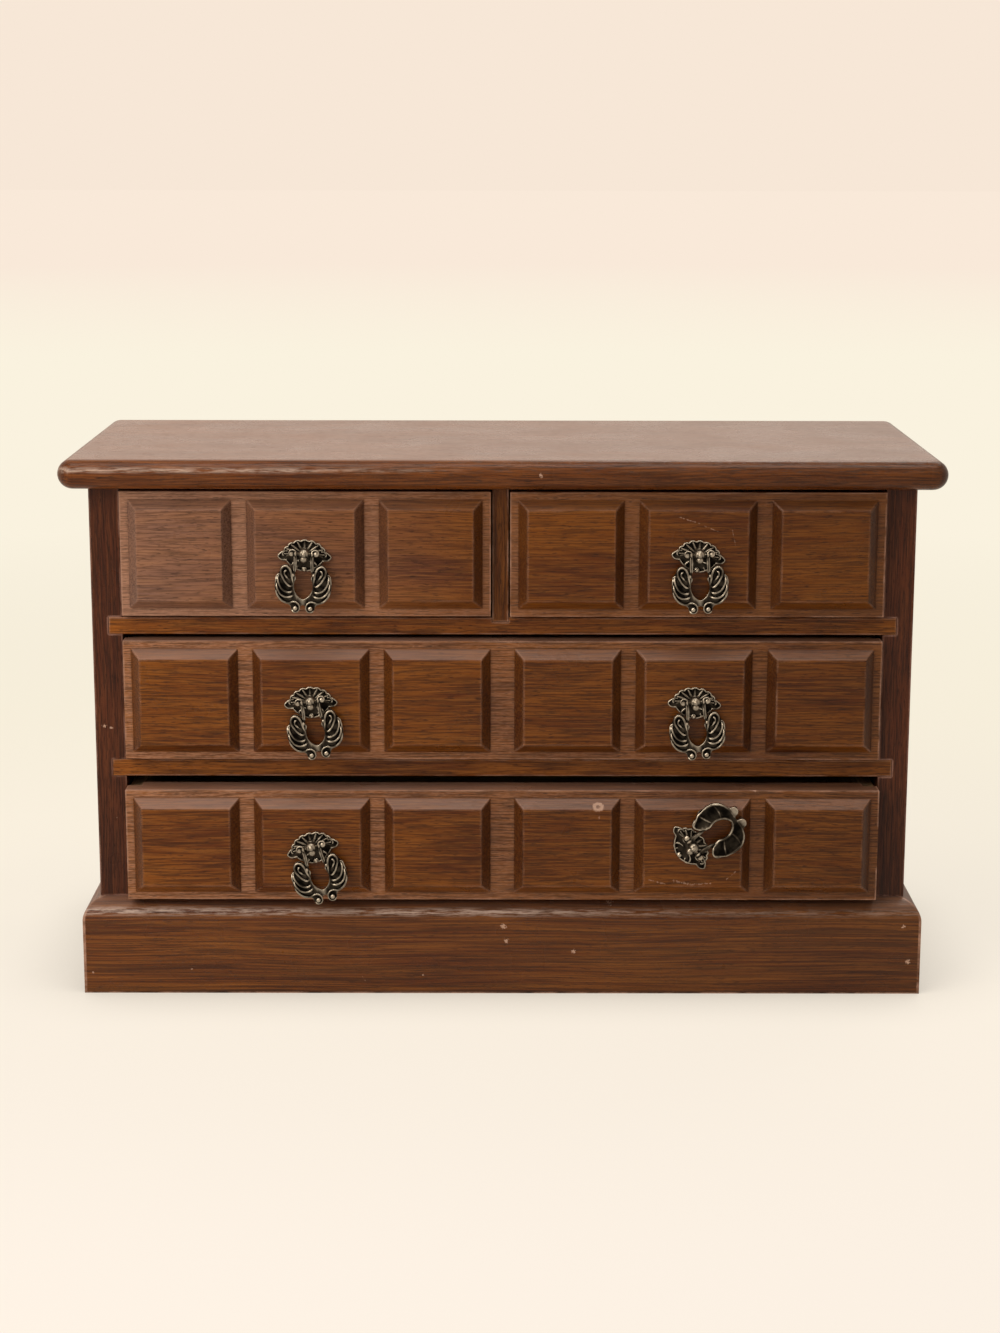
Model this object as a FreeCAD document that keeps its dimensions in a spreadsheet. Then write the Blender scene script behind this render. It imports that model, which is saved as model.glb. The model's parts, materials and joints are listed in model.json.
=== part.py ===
import FreeCAD, Part
import Sketcher
import math
import os
import re

# Jewelry chest with two small drawers over two full-width ones.
# Frame: +X to the right, +Y to the back, +Z up. The origin is on the surface that the
# chest stands on, in the middle of its whole outline, from the back to the pulls of the
# bottom drawer. Sizes are millimetres.

os.makedirs("parts", exist_ok=True)
doc = FreeCAD.newDocument("jewelry_chest")

# Driving dimensions, each written once
SIZES = [
    ("case_width", 356.0, "over the two side panels"),
    ("case_depth", 142.0, "front edges of the side panels to the back"),
    ("side_thickness", 13.0, "side panel"),
    ("top_overhang", 12.0, "top board past the case, front and sides"),
    ("top_thickness", 12.7, "top board"),
    ("top_corner_radius", 7.0, "front corners of the top board, seen from above"),
    ("top_round", 6.3, "radius of the full round on the front and side edges"),
    ("plinth_height", 42.4, "floor to the top of the plinth"),
    ("plinth_stock", 20.0, "thickness of the plinth boards"),
    ("plinth_side_step", 7.0, "plinth past the side panels"),
    ("plinth_front_step", 8.8, "plinth past the front of the case"),
    ("plinth_round", 9.4, "radius of the plinth's upper outer edge"),
    ("bottom_opening", 54.6, "height of the opening of the bottom drawer"),
    ("middle_opening", 55.8, "height of the opening of the middle drawer"),
    ("top_opening", 56.8, "height of the openings of the two top drawers"),
    ("rail_thickness", 7.6, "height of a front rail"),
    ("rail_depth", 22.0, "front to back of a rail"),
    ("rail_housing", 6.0, "how far rails and dust panels go into the side panels"),
    ("dust_panel_thickness", 5.0, "dust panel behind a rail"),
    ("dust_panel_lap", 6.0, "how far a dust panel lies on its rail"),
    ("divider_thickness", 7.0, "upright between the two top drawers"),
    ("divider_shift", 1.0, "how far left of the middle the upright stands"),
    ("divider_housing", 2.0, "depth of the grooves that hold the upright"),
    ("back_panel_thickness", 4.0, "back panel"),
    ("back_panel_lip", 6.0, "how far the back panel goes into the side panels"),
    ("bottom_board_thickness", 6.0, "bottom board"),
    ("bottom_board_lip", 6.0, "rebate in the plinth boards that holds it"),
    ("corner_block_size", 18.0, "glue blocks in the corners of the plinth"),
    ("corner_block_lift", 2.0, "glue blocks above the floor"),
    ("dowel_radius", 2.5, "dowels that hold the top board"),
    ("dowel_in_side", 15.0, "dowel in the side panel"),
    ("dowel_in_top", 9.0, "dowel in the top board"),
    ("front_stock", 19.0, "drawer front with its raised fields"),
    ("field_rise", 4.8, "raised fields above the flat margin"),
    ("field_margin", 3.6, "flat margin round a drawer front"),
    ("field_strip", 6.4, "flat strip between two fields"),
    ("center_strip", 10.4, "flat strip in the middle of a wide drawer front"),
    ("wide_field", 50.5, "field that carries a pull, over its bevels"),
    ("bevel_width", 3.9, "bevel round a field"),
    ("drawer_side_gap", 0.6, "between a drawer and the case, each side"),
    ("front_lift", 1.1, "drawer front above what is under it"),
    ("runner_gap", 0.3, "drawer sides above what they run on"),
    ("gap_over_top_drawers", 1.2, "opening left over the two top fronts"),
    ("gap_over_middle_drawer", 1.8, "opening left over the middle front"),
    ("gap_over_bottom_drawer", 3.7, "opening left over the bottom front"),
    ("side_drop", 2.0, "drawer sides below the top of their front"),
    ("drawer_side_stock", 6.0, "drawer side"),
    ("front_lap", 6.0, "how far a drawer side goes into its front"),
    ("drawer_back_stock", 6.0, "drawer back"),
    ("drawer_back_drop", 3.0, "drawer back below the drawer sides"),
    ("drawer_bottom_stock", 3.0, "drawer bottom"),
    ("groove_lift", 4.0, "groove for the drawer bottom, above the edge of the side"),
    ("groove_depth", 3.0, "depth of that groove"),
    ("lining_thickness", 1.2, "felt lining"),
    ("lining_gap", 0.3, "felt lining from the walls of its drawer"),
    ("drawer_rear_gap", 1.0, "closed drawer to the back panel"),
    ("ajar_top_left", 4.0, "how far the drawer stands open at rest"),
    ("ajar_top_right", 5.0, "how far the drawer stands open at rest"),
    ("ajar_middle", 5.0, "how far the drawer stands open at rest"),
    ("ajar_bottom", 10.0, "how far the drawer stands open at rest"),
    ("pull_rise", 1.7, "post of a pull above the middle of its front"),
    ("plate_half_width", 10.2, "backplate, without its side lobes"),
    ("plate_half_height", 6.9, "backplate"),
    ("plate_drop", 1.3, "middle of the backplate below the post"),
    ("plate_rim", 1.2, "thickness of the backplate at its edge"),
    ("plate_seat", 1.6, "thickness of the backplate under the post"),
    ("seat_radius", 3.4, "round seat under the post"),
    ("scallop_radius", 1.5, "scallops along the upper edge"),
    ("lobe_radius", 1.8, "side lobes of the backplate"),
    ("post_radius", 2.4, "post that the drop hangs on"),
    ("nose_radius", 1.7, "drop-shaped nose under the post's head"),
    ("nose_drop", 1.6, "middle of the nose below the pivot"),
    ("nose_half_height", 2.2, "nose"),
    ("pivot_out", 5.0, "pivot of the drop in front of the field"),
    ("shank_radius", 1.5, "threaded shank of the post"),
    ("shank_gap", 0.25, "clearance round the shank"),
    ("shank_end", 0.8, "shank past its nut"),
    ("nut_flats", 5.5, "across the flats of the nut"),
    ("nut_height", 2.4, "nut"),
    ("peg_radius", 0.7, "pegs of the drop in the post"),
    ("peg_gap", 0.05, "running clearance round the pegs"),
    ("peg_reach", 1.5, "how far a peg goes into the post"),
    ("arm_gap", 0.3, "between the post and each arm of the drop"),
    ("arm_width", 1.8, "arm of the drop, seen from the front"),
    ("arm_thickness", 1.7, "arm of the drop, front to back"),
    ("eye_radius", 1.5, "rounded upper end of an arm"),
    ("knob_radius", 1.4, "round knob outside each arm"),
    ("ring_half_width", 11.6, "ring of the drop"),
    ("ring_half_height", 8.8, "ring of the drop"),
    ("ring_drop", 14.4, "middle of the ring below the pivot"),
    ("ring_thickness", 3.6, "ring of the drop, front to back"),
    ("hole_half_width", 3.65, "finger hole"),
    ("hole_half_height", 4.65, "finger hole"),
    ("hole_drop", 15.05, "middle of the finger hole below the pivot"),
    ("drop_length", 26.0, "pivot to the lowest point of the drop"),
    ("scroll_radius", 2.0, "ball scrolls at the foot of the drop"),
    ("scroll_spacing", 6.6, "between the middles of the two ball scrolls"),
    ("turn_top_left", -2.0, "how far a pull is turned on its post, degrees"),
    ("turn_top_right", 2.0, "how far a pull is turned on its post, degrees"),
    ("turn_middle_left", 9.0, "how far a pull is turned on its post, degrees"),
    ("turn_middle_right", 5.0, "how far a pull is turned on its post, degrees"),
    ("turn_bottom_left", 15.0, "how far a pull is turned on its post, degrees"),
    ("turn_bottom_right", -55.0, "how far a pull is turned on its post, degrees"),
    ("flip_bottom_right", 186.5, "how far its drop is thrown up and over, degrees"),
]

sheet = doc.addObject("Spreadsheet::Sheet", "Sizes")
for row, (name, number, note) in enumerate(SIZES, start=1):
    sheet.set(f"A{row}", name)
    sheet.set(f"B{row}", str(number))
    sheet.setAlias(f"B{row}", name)
    sheet.set(f"C{row}", note)
doc.recompute()
size = {name: number for name, number, note in SIZES}
vector = FreeCAD.Vector

# Levels and lines that several pieces share, as formulas of the sizes
plinth_depth = "(case_depth + plinth_front_step)"
plinth_width = "(case_width + 2 * plinth_side_step)"
pull_reach = "(field_rise + pivot_out + post_radius / 2 + nose_radius)"
back_y = f"((case_depth + ajar_bottom + {pull_reach}) / 2)"
case_y = f"({back_y} - case_depth)"
plinth_y = f"({back_y} - {plinth_depth})"
case_x = "(-case_width / 2)"
inside_x = f"({case_x} + side_thickness)"
inside_width = "(case_width - 2 * side_thickness)"
lower_rail_z = "(plinth_height + bottom_opening)"
middle_floor_z = f"({lower_rail_z} + rail_thickness)"
upper_rail_z = f"({middle_floor_z} + middle_opening)"
top_floor_z = f"({upper_rail_z} + rail_thickness)"
top_board_z = f"({top_floor_z} + top_opening)"
case_height = f"({top_board_z} - plinth_height)"
inside_depth = "(case_depth - back_panel_thickness)"
panel_width = f"({inside_width} + 2 * rail_housing)"
divider_x = "(-divider_shift - divider_thickness / 2)"
front_base = "(front_stock - field_rise)"
drawer_depth = f"({inside_depth} - drawer_rear_gap)"


def formula(text):
    """Turns the size names in a formula into cells of the sheet."""
    def cell(found):
        word = found.group(0)
        return "Sizes." + word if word in size else word
    return re.sub(r"[A-Za-z_]+", cell, text)


def bind(thing, prop, text):
    thing.setExpression(prop, formula(text))


def move_to(thing, x, y, z):
    bind(thing, "Placement.Base.x", x)
    bind(thing, "Placement.Base.y", y)
    bind(thing, "Placement.Base.z", z)


def new_body(label):
    body = doc.addObject("PartDesign::Body", label)
    body.Label = label
    return body


def origin_plane(body, role):
    for item in body.Origin.OriginFeatures:
        if item.Role == role:
            return item
    raise ValueError(role)


def attach(feature, body, role):
    feature.AttachmentSupport = [(origin_plane(body, role), "")]
    feature.MapMode = "FlatFace"


def new_sketch(body, name, role):
    sketch = body.newObject("Sketcher::SketchObject", name)
    attach(sketch, body, role)
    return sketch


def hold(sketch, kind, *where_and_text, start=10.0):
    """Adds one driving constraint and binds it to a formula."""
    where, text = where_and_text[:-1], where_and_text[-1]
    index = sketch.addConstraint(Sketcher.Constraint(kind, *where, start))
    bind(sketch, f"Constraints[{index}]", text)


def add_rectangle(sketch, x, y, width, height):
    first = sketch.GeometryCount
    corners = [vector(0, 0), vector(10, 0), vector(10, 10), vector(0, 10)]
    for side in range(4):
        sketch.addGeometry(Part.LineSegment(corners[side], corners[(side + 1) % 4]), False)
    for side in range(4):
        after = first + (side + 1) % 4
        sketch.addConstraint(Sketcher.Constraint("Coincident", first + side, 2, after, 1))
    for side in (0, 2):
        sketch.addConstraint(Sketcher.Constraint("Horizontal", first + side))
        sketch.addConstraint(Sketcher.Constraint("Vertical", first + side + 1))
    hold(sketch, "DistanceX", -1, 1, first, 1, x)
    hold(sketch, "DistanceY", -1, 1, first, 1, y)
    hold(sketch, "DistanceX", first, 1, first, 2, width)
    hold(sketch, "DistanceY", first + 1, 1, first + 1, 2, height)


def add_polygon(sketch, points):
    first = sketch.GeometryCount
    count = len(points)
    spots = [vector(10 * math.cos(2 * math.pi * i / count), 10 * math.sin(2 * math.pi * i / count))
             for i in range(count)]
    for i in range(count):
        sketch.addGeometry(Part.LineSegment(spots[i], spots[(i + 1) % count]), False)
    for i, (x, y) in enumerate(points):
        sketch.addConstraint(Sketcher.Constraint("Coincident", first + i, 1,
                                                 first + (i - 1) % count, 2))
        hold(sketch, "DistanceX", -1, 1, first + i, 1, x)
        hold(sketch, "DistanceY", -1, 1, first + i, 1, y)


def add_ellipse(sketch, center_y, half_width, half_height, wider):
    """An ellipse on the sketch's upright axis; wider tells which axis is the long one."""
    first = sketch.GeometryCount
    long_half, short_half = 10, 5
    long_axis = vector(long_half, 0) if wider else vector(0, long_half)
    short_axis = vector(0, short_half) if wider else vector(-short_half, 0)
    center = vector(0, -12)
    sketch.addGeometry(Part.Ellipse(center + long_axis, center + short_axis, center), False)
    sketch.exposeInternalGeometry(first)
    sketch.addConstraint(Sketcher.Constraint("Horizontal" if wider else "Vertical", first + 1))
    sketch.addConstraint(Sketcher.Constraint("PointOnObject", first, 3, -2))
    hold(sketch, "DistanceY", -1, 1, first, 3, center_y)
    halves = (half_width, half_height) if wider else (half_height, half_width)
    hold(sketch, "Distance", first + 1, f"2 * {halves[0]}", start=2 * long_half)
    hold(sketch, "Distance", first + 2, f"2 * {halves[1]}", start=2 * short_half)


def pad(body, sketch, name, length, backwards=False):
    feature = body.newObject("PartDesign::Pad", name)
    feature.Profile = sketch
    bind(feature, "Length", length)
    feature.Reversed = backwards
    return feature


def board(label, length, depth, height):
    """A plain board with its low left front corner at its own origin."""
    body = new_body(label)
    outline = new_sketch(body, label + "_outline", "XY_Plane")
    add_rectangle(outline, "0", "0", length, depth)
    pad(body, outline, label + "_stock", height)
    return body


def shape_box(body, kind, name, corner, extent):
    """Adds or takes away a box; kind is Additive or Subtractive."""
    feature = body.newObject(f"PartDesign::{kind}Box", name)
    attach(feature, body, "XY_Plane")
    for axis, text in zip("xyz", corner):
        bind(feature, f"AttachmentOffset.Base.{axis}", text)
    for prop, text in zip(("Length", "Width", "Height"), extent):
        bind(feature, prop, text)
    return feature


def cut_box(body, name, corner, extent):
    return shape_box(body, "Subtractive", name, corner, extent)


def round_bar(body, kind, name, role, radius, length, offset):
    """A cylinder square to one of the body's planes; offset is in that plane's own axes."""
    feature = body.newObject(f"PartDesign::{kind}Cylinder", name)
    attach(feature, body, role)
    bind(feature, "Radius", radius)
    bind(feature, "Height", length)
    for axis, text in zip("xyz", offset):
        bind(feature, f"AttachmentOffset.Base.{axis}", text)
    return feature


def ball(body, name, role, radius, offset):
    """A ball whose poles point square to one of the body's planes."""
    feature = body.newObject("PartDesign::AdditiveSphere", name)
    attach(feature, body, role)
    bind(feature, "Radius", radius)
    for axis, text in zip("xyz", offset):
        bind(feature, f"AttachmentOffset.Base.{axis}", text)
    return feature


def round_edges(body, base, name, wanted, radius):
    """Rounds the edges of the base feature that the test picks."""
    doc.recompute()
    edges = [f"Edge{i}" for i, edge in enumerate(base.Shape.Edges, start=1) if wanted(edge)]
    feature = body.newObject("PartDesign::Fillet", name)
    feature.Base = (base, edges)
    bind(feature, "Radius", radius)
    return feature


def lies_at(edge, axis, where):
    """True if the whole edge lies at one value along an axis."""
    low = getattr(edge.BoundBox, axis + "Min")
    high = getattr(edge.BoundBox, axis + "Max")
    return abs(low - where) < 0.01 and abs(high - where) < 0.01


def is_upright(edge):
    return edge.BoundBox.ZLength > 1 and edge.BoundBox.XLength + edge.BoundBox.YLength < 0.01


nodes = []


def keep(thing, label=None):
    """Marks a finished sub-part; its label names its file."""
    if label:
        thing.Label = label
    nodes.append(thing)
    return thing


# Top board: full round on the front and both sides, square at the back
top_width = "(case_width + 2 * top_overhang)"
top_depth = "(case_depth + top_overhang)"
top_board = board("top_board", top_width, top_depth, "top_thickness")
doc.recompute()
slab = top_board.Tip
corners = round_edges(top_board, slab, "top_board_corners",
                      lambda e: is_upright(e) and lies_at(e, "Y", 0), "top_corner_radius")
doc.recompute()
slab_back = slab.Shape.BoundBox.YMax
slab_top = slab.Shape.BoundBox.ZMax
bullnose = round_edges(top_board, corners, "top_board_bullnose",
                       lambda e: (lies_at(e, "Z", 0) or lies_at(e, "Z", slab_top))
                       and not lies_at(e, "Y", slab_back),
                       "min(top_round; top_thickness / 2 - 0.02; top_corner_radius - 0.1)")
dowel_spots = ["case_depth / 6", "case_depth / 2", "case_depth * 5 / 6"]
for side, across in (("left", "(top_overhang + side_thickness / 2)"),
                     ("right", "(top_overhang + case_width - side_thickness / 2)")):
    for number, along in enumerate(dowel_spots, start=1):
        round_bar(top_board, "Subtractive", f"top_hole_{side}_{number}", "XY_Plane",
                  "dowel_radius", "dowel_in_top", (across, f"top_overhang + {along}", "0"))
cut_box(top_board, "top_divider_groove",
        (f"{divider_x} - {case_x} + top_overhang", "top_overhang", "0"),
        ("divider_thickness", inside_depth, "divider_housing"))
move_to(top_board, f"{case_x} - top_overhang", f"{case_y} - top_overhang", top_board_z)
keep(top_board)


# Side panels: housings for the rails and dust panels, a rebate for the back panel
def side_panel(label, is_left):
    panel = board(label, "side_thickness", "case_depth", case_height)
    housing_x = "side_thickness - rail_housing" if is_left else "0"
    rebate_x = "side_thickness - back_panel_lip" if is_left else "0"
    for name, level in (("lower", lower_rail_z), ("upper", upper_rail_z)):
        floor = f"{level} - plinth_height"
        cut_box(panel, f"{label}_{name}_rail_housing", (housing_x, "0", floor),
                ("rail_housing", "rail_depth", "rail_thickness"))
        cut_box(panel, f"{label}_{name}_dust_panel_housing",
                (housing_x, "0", f"{floor} + rail_thickness - dust_panel_thickness"),
                ("rail_housing", inside_depth, "dust_panel_thickness"))
    cut_box(panel, label + "_back_rebate", (rebate_x, inside_depth, "0"),
            ("back_panel_lip", "back_panel_thickness", case_height))
    for number, along in enumerate(dowel_spots, start=1):
        round_bar(panel, "Subtractive", f"{label}_hole_{number}", "XY_Plane", "dowel_radius",
                  "dowel_in_side", ("side_thickness / 2", along, f"{case_height} - dowel_in_side"))
    x = case_x if is_left else f"({inside_x} + {inside_width})"
    move_to(panel, x, case_y, "plinth_height")
    keep(panel)


side_panel("side_panel_left", True)
side_panel("side_panel_right", False)

# Dowels between the top board and the side panels
dowels = []
for side, across in (("left", f"{case_x} + side_thickness / 2"),
                     ("right", f"-{case_x} - side_thickness / 2")):
    for number, along in enumerate(dowel_spots, start=1):
        dowel = doc.addObject("Part::Cylinder", f"dowel_{side}_{number}")
        bind(dowel, "Radius", "dowel_radius")
        bind(dowel, "Height", "dowel_in_side + dowel_in_top")
        move_to(dowel, across, f"{case_y} + {along}", f"{top_board_z} - dowel_in_side")
        dowels.append(dowel)
top_dowels = doc.addObject("Part::Compound", "top_dowels")
top_dowels.Links = dowels
keep(top_dowels, "top_dowels")

# Back panel, let into the side panels, standing on the back of the plinth
back_panel = board("back_panel", f"{inside_width} + 2 * back_panel_lip",
                   "back_panel_thickness", case_height)
move_to(back_panel, f"{inside_x} - back_panel_lip", f"{back_y} - back_panel_thickness",
        "plinth_height")
keep(back_panel)


# Front rails with a dust panel lapped on the back of each
def rail_and_dust_panel(name, level, holds_divider):
    rail = board(f"rail_{name}", panel_width, "rail_depth", "rail_thickness")
    cut_box(rail, f"rail_{name}_lap",
            ("0", "rail_depth - dust_panel_lap", "rail_thickness - dust_panel_thickness"),
            (panel_width, "dust_panel_lap", "dust_panel_thickness"))
    panel_y = "rail_depth - dust_panel_lap"
    panel = board(f"dust_panel_{name}", panel_width, f"{inside_depth} - ({panel_y})",
                  "dust_panel_thickness")
    if holds_divider:
        groove_x = f"{divider_x} - ({inside_x} - rail_housing)"
        cut_box(rail, f"rail_{name}_groove",
                (groove_x, "0", "rail_thickness - divider_housing"),
                ("divider_thickness", "rail_depth", "divider_housing"))
        cut_box(panel, f"dust_panel_{name}_groove",
                (groove_x, "0", "dust_panel_thickness - divider_housing"),
                ("divider_thickness", f"{inside_depth} - ({panel_y})", "divider_housing"))
    left = f"{inside_x} - rail_housing"
    move_to(rail, left, case_y, level)
    move_to(panel, left, f"{case_y} + {panel_y}",
            f"{level} + rail_thickness - dust_panel_thickness")
    keep(rail)
    keep(panel)


rail_and_dust_panel("lower", lower_rail_z, False)
rail_and_dust_panel("upper", upper_rail_z, True)

# Upright between the two top drawers, let into the top board, the rail and the dust panel
divider = board("center_divider", "divider_thickness", inside_depth,
                "top_opening + 2 * divider_housing")
move_to(divider, divider_x, case_y, f"{top_floor_z} - divider_housing")
keep(divider)

# Plinth: mitred at the front corners, rounded along the upper outer edge,
# rebated inside for the bottom board
plinth_front = board("plinth_front", plinth_width, "plinth_stock", "plinth_height")
doc.recompute()
plinth_top = plinth_front.Tip.Shape.BoundBox.ZMax
round_edges(plinth_front, plinth_front.Tip, "plinth_front_round",
            lambda e: lies_at(e, "Z", plinth_top) and lies_at(e, "Y", 0), "plinth_round")
cut_box(plinth_front, "plinth_front_rebate",
        ("0", "plinth_stock - bottom_board_lip", "plinth_height - bottom_board_thickness"),
        (plinth_width, "bottom_board_lip", "bottom_board_thickness"))
mitres = new_sketch(plinth_front, "plinth_front_mitres", "XY_Plane")
add_polygon(mitres, [("0", "0"), ("plinth_stock", "plinth_stock"), ("0", "plinth_stock")])
add_polygon(mitres, [(plinth_width, "0"), (plinth_width, "plinth_stock"),
                     (f"{plinth_width} - plinth_stock", "plinth_stock")])
mitre_cut = plinth_front.newObject("PartDesign::Pocket", "plinth_front_mitre_cut")
mitre_cut.Profile = mitres
mitre_cut.Reversed = True
bind(mitre_cut, "Length", "plinth_height")
move_to(plinth_front, f"-{plinth_width} / 2", plinth_y, "0")
keep(plinth_front)


def plinth_side(label, is_left):
    side = board(label, "plinth_stock", plinth_depth, "plinth_height")
    doc.recompute()
    outer_x = 0 if is_left else side.Tip.Shape.BoundBox.XMax
    round_edges(side, side.Tip, label + "_round",
                lambda e: lies_at(e, "Z", plinth_top) and lies_at(e, "X", outer_x),
                "plinth_round")
    rebate_x = "plinth_stock - bottom_board_lip" if is_left else "0"
    cut_box(side, label + "_rebate",
            (rebate_x, "plinth_stock - bottom_board_lip",
             "plinth_height - bottom_board_thickness"),
            ("bottom_board_lip", f"{plinth_depth} - 2 * (plinth_stock - bottom_board_lip)",
             "bottom_board_thickness"))
    mitre = new_sketch(side, label + "_mitre", "XY_Plane")
    far = "plinth_stock" if is_left else "0"
    near = "0" if is_left else "plinth_stock"
    add_polygon(mitre, [(near, "0"), (far, "0"), (far, "plinth_stock")])
    cut = side.newObject("PartDesign::Pocket", label + "_mitre_cut")
    cut.Profile = mitre
    cut.Reversed = True
    bind(cut, "Length", "plinth_height")
    x = f"-{plinth_width} / 2" if is_left else f"{plinth_width} / 2 - plinth_stock"
    move_to(side, x, plinth_y, "0")
    keep(side)


plinth_side("plinth_left", True)
plinth_side("plinth_right", False)

plinth_back_width = f"({plinth_width} - 2 * plinth_stock)"
plinth_back = board("plinth_back", plinth_back_width, "plinth_stock", "plinth_height")
cut_box(plinth_back, "plinth_back_rebate",
        ("0", "0", "plinth_height - bottom_board_thickness"),
        (plinth_back_width, "bottom_board_lip", "bottom_board_thickness"))
move_to(plinth_back, f"-{plinth_back_width} / 2", f"{back_y} - plinth_stock", "0")
keep(plinth_back)

# Bottom board, flush with the top of the plinth
bottom_lip_gap = "(plinth_stock - bottom_board_lip)"
bottom_board = board("bottom_board", f"{plinth_width} - 2 * {bottom_lip_gap}",
                     f"{plinth_depth} - 2 * {bottom_lip_gap}", "bottom_board_thickness")
move_to(bottom_board, f"-{plinth_width} / 2 + {bottom_lip_gap}",
        f"{plinth_y} + {bottom_lip_gap}", "plinth_height - bottom_board_thickness")
keep(bottom_board)

# Glue blocks in the four corners of the plinth, under the bottom board
blocks = []
for side, x in (("left", f"-{plinth_width} / 2 + plinth_stock"),
                ("right", f"{plinth_width} / 2 - plinth_stock - corner_block_size")):
    for end, y in (("front", f"{plinth_y} + plinth_stock"),
                   ("back", f"{back_y} - plinth_stock - corner_block_size")):
        block = doc.addObject("Part::Box", f"block_{side}_{end}")
        bind(block, "Length", "corner_block_size")
        bind(block, "Width", "corner_block_size")
        bind(block, "Height", "plinth_height - bottom_board_thickness - corner_block_lift")
        move_to(block, x, y, "corner_block_lift")
        blocks.append(block)
corner_blocks = doc.addObject("Part::Compound", "corner_blocks")
corner_blocks.Links = blocks
keep(corner_blocks, "corner_blocks")


# Pulls. Each is made upright about its post: x across, y into the front, z up,
# with the field's face at y = 0. A turn then swings it round the post.
def turned(name):
    return FreeCAD.Rotation(vector(0, -1, 0), size["turn_" + name])


def pull_plate(name, spot):
    """Fan-shaped backplate with a scalloped upper edge and two side lobes."""
    plate = new_body("pull_plate_" + name)
    outline = new_sketch(plate, f"plate_{name}_outline", "XZ_Plane")
    add_ellipse(outline, "-plate_drop", "plate_half_width", "plate_half_height", True)
    pad(plate, outline, f"plate_{name}_leaf", "plate_rim")
    for number in range(7):
        angle = 24 + 22 * number
        round_bar(plate, "Additive", f"plate_{name}_scallop_{number}", "XZ_Plane",
                  "scallop_radius", "plate_rim",
                  (f"(plate_half_width - scallop_radius * 0.6) * cos({angle})",
                   f"(plate_half_height - scallop_radius * 0.6) * sin({angle}) - plate_drop",
                   "0"))
    for number, side in enumerate(("-", "")):
        round_bar(plate, "Additive", f"plate_{name}_lobe_{number}", "XZ_Plane", "lobe_radius",
                  "plate_rim", (f"{side}(plate_half_width - lobe_radius * 0.3)",
                                "-plate_drop", "0"))
    round_bar(plate, "Additive", f"plate_{name}_seat", "XZ_Plane", "seat_radius", "plate_seat",
              ("0", "0", "0"))
    round_bar(plate, "Subtractive", f"plate_{name}_hole", "XZ_Plane",
              "shank_radius + shank_gap", "plate_seat + 2", ("0", "0", "-1"))
    plate.Placement = FreeCAD.Placement(vector(0, 0, 0), turned(name))
    move_to(plate, *spot)
    keep(plate)


def pull_post(name, spot):
    """Post with a rounded head, a small nose and a shank through the drawer front."""
    post = new_body("post_" + name)
    shank = "front_stock + nut_height + shank_end"
    round_bar(post, "Additive", f"post_{name}_shank", "XZ_Plane", "shank_radius",
              f"{shank} + plate_seat + 1", ("0", "0", f"-({shank})"))
    round_bar(post, "Additive", f"post_{name}_neck", "XZ_Plane", "post_radius",
              "pivot_out - plate_seat", ("0", "0", "plate_seat"))
    ball(post, f"post_{name}_head", "XZ_Plane", "post_radius", ("0", "0", "pivot_out"))
    nose = post.newObject("PartDesign::AdditiveEllipsoid", f"post_{name}_nose")
    attach(nose, post, "XY_Plane")
    bind(nose, "Radius1", "nose_half_height")
    bind(nose, "Radius2", "nose_radius")
    bind(nose, "Radius3", "nose_radius")
    bind(nose, "AttachmentOffset.Base.y", "-pivot_out - post_radius / 2")
    bind(nose, "AttachmentOffset.Base.z", "-nose_drop")
    round_bar(post, "Subtractive", f"post_{name}_cross_hole", "YZ_Plane",
              "peg_radius + peg_gap", "2 * post_radius + 2",
              ("-pivot_out", "0", "-(post_radius + 1)"))
    post.Placement = FreeCAD.Placement(vector(0, 0, 0), turned(name))
    move_to(post, *spot)
    return post


def pull_nut(name, x, y, z):
    blank = doc.addObject("Part::Prism", f"nut_{name}_blank")
    blank.Polygon = 6
    bind(blank, "Circumradius", "nut_flats / 2 / cos(30)")
    bind(blank, "Height", "nut_height")
    bore = doc.addObject("Part::Cylinder", f"nut_{name}_bore")
    bind(bore, "Radius", "shank_radius")
    bind(bore, "Height", "nut_height")
    nut = doc.addObject("Part::Cut", "nut_" + name)
    nut.Base = blank
    nut.Tool = bore
    nut.Placement = FreeCAD.Placement(vector(0, 0, 0), FreeCAD.Rotation(vector(1, 0, 0), -90))
    move_to(nut, x, y, z)
    return nut


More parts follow.
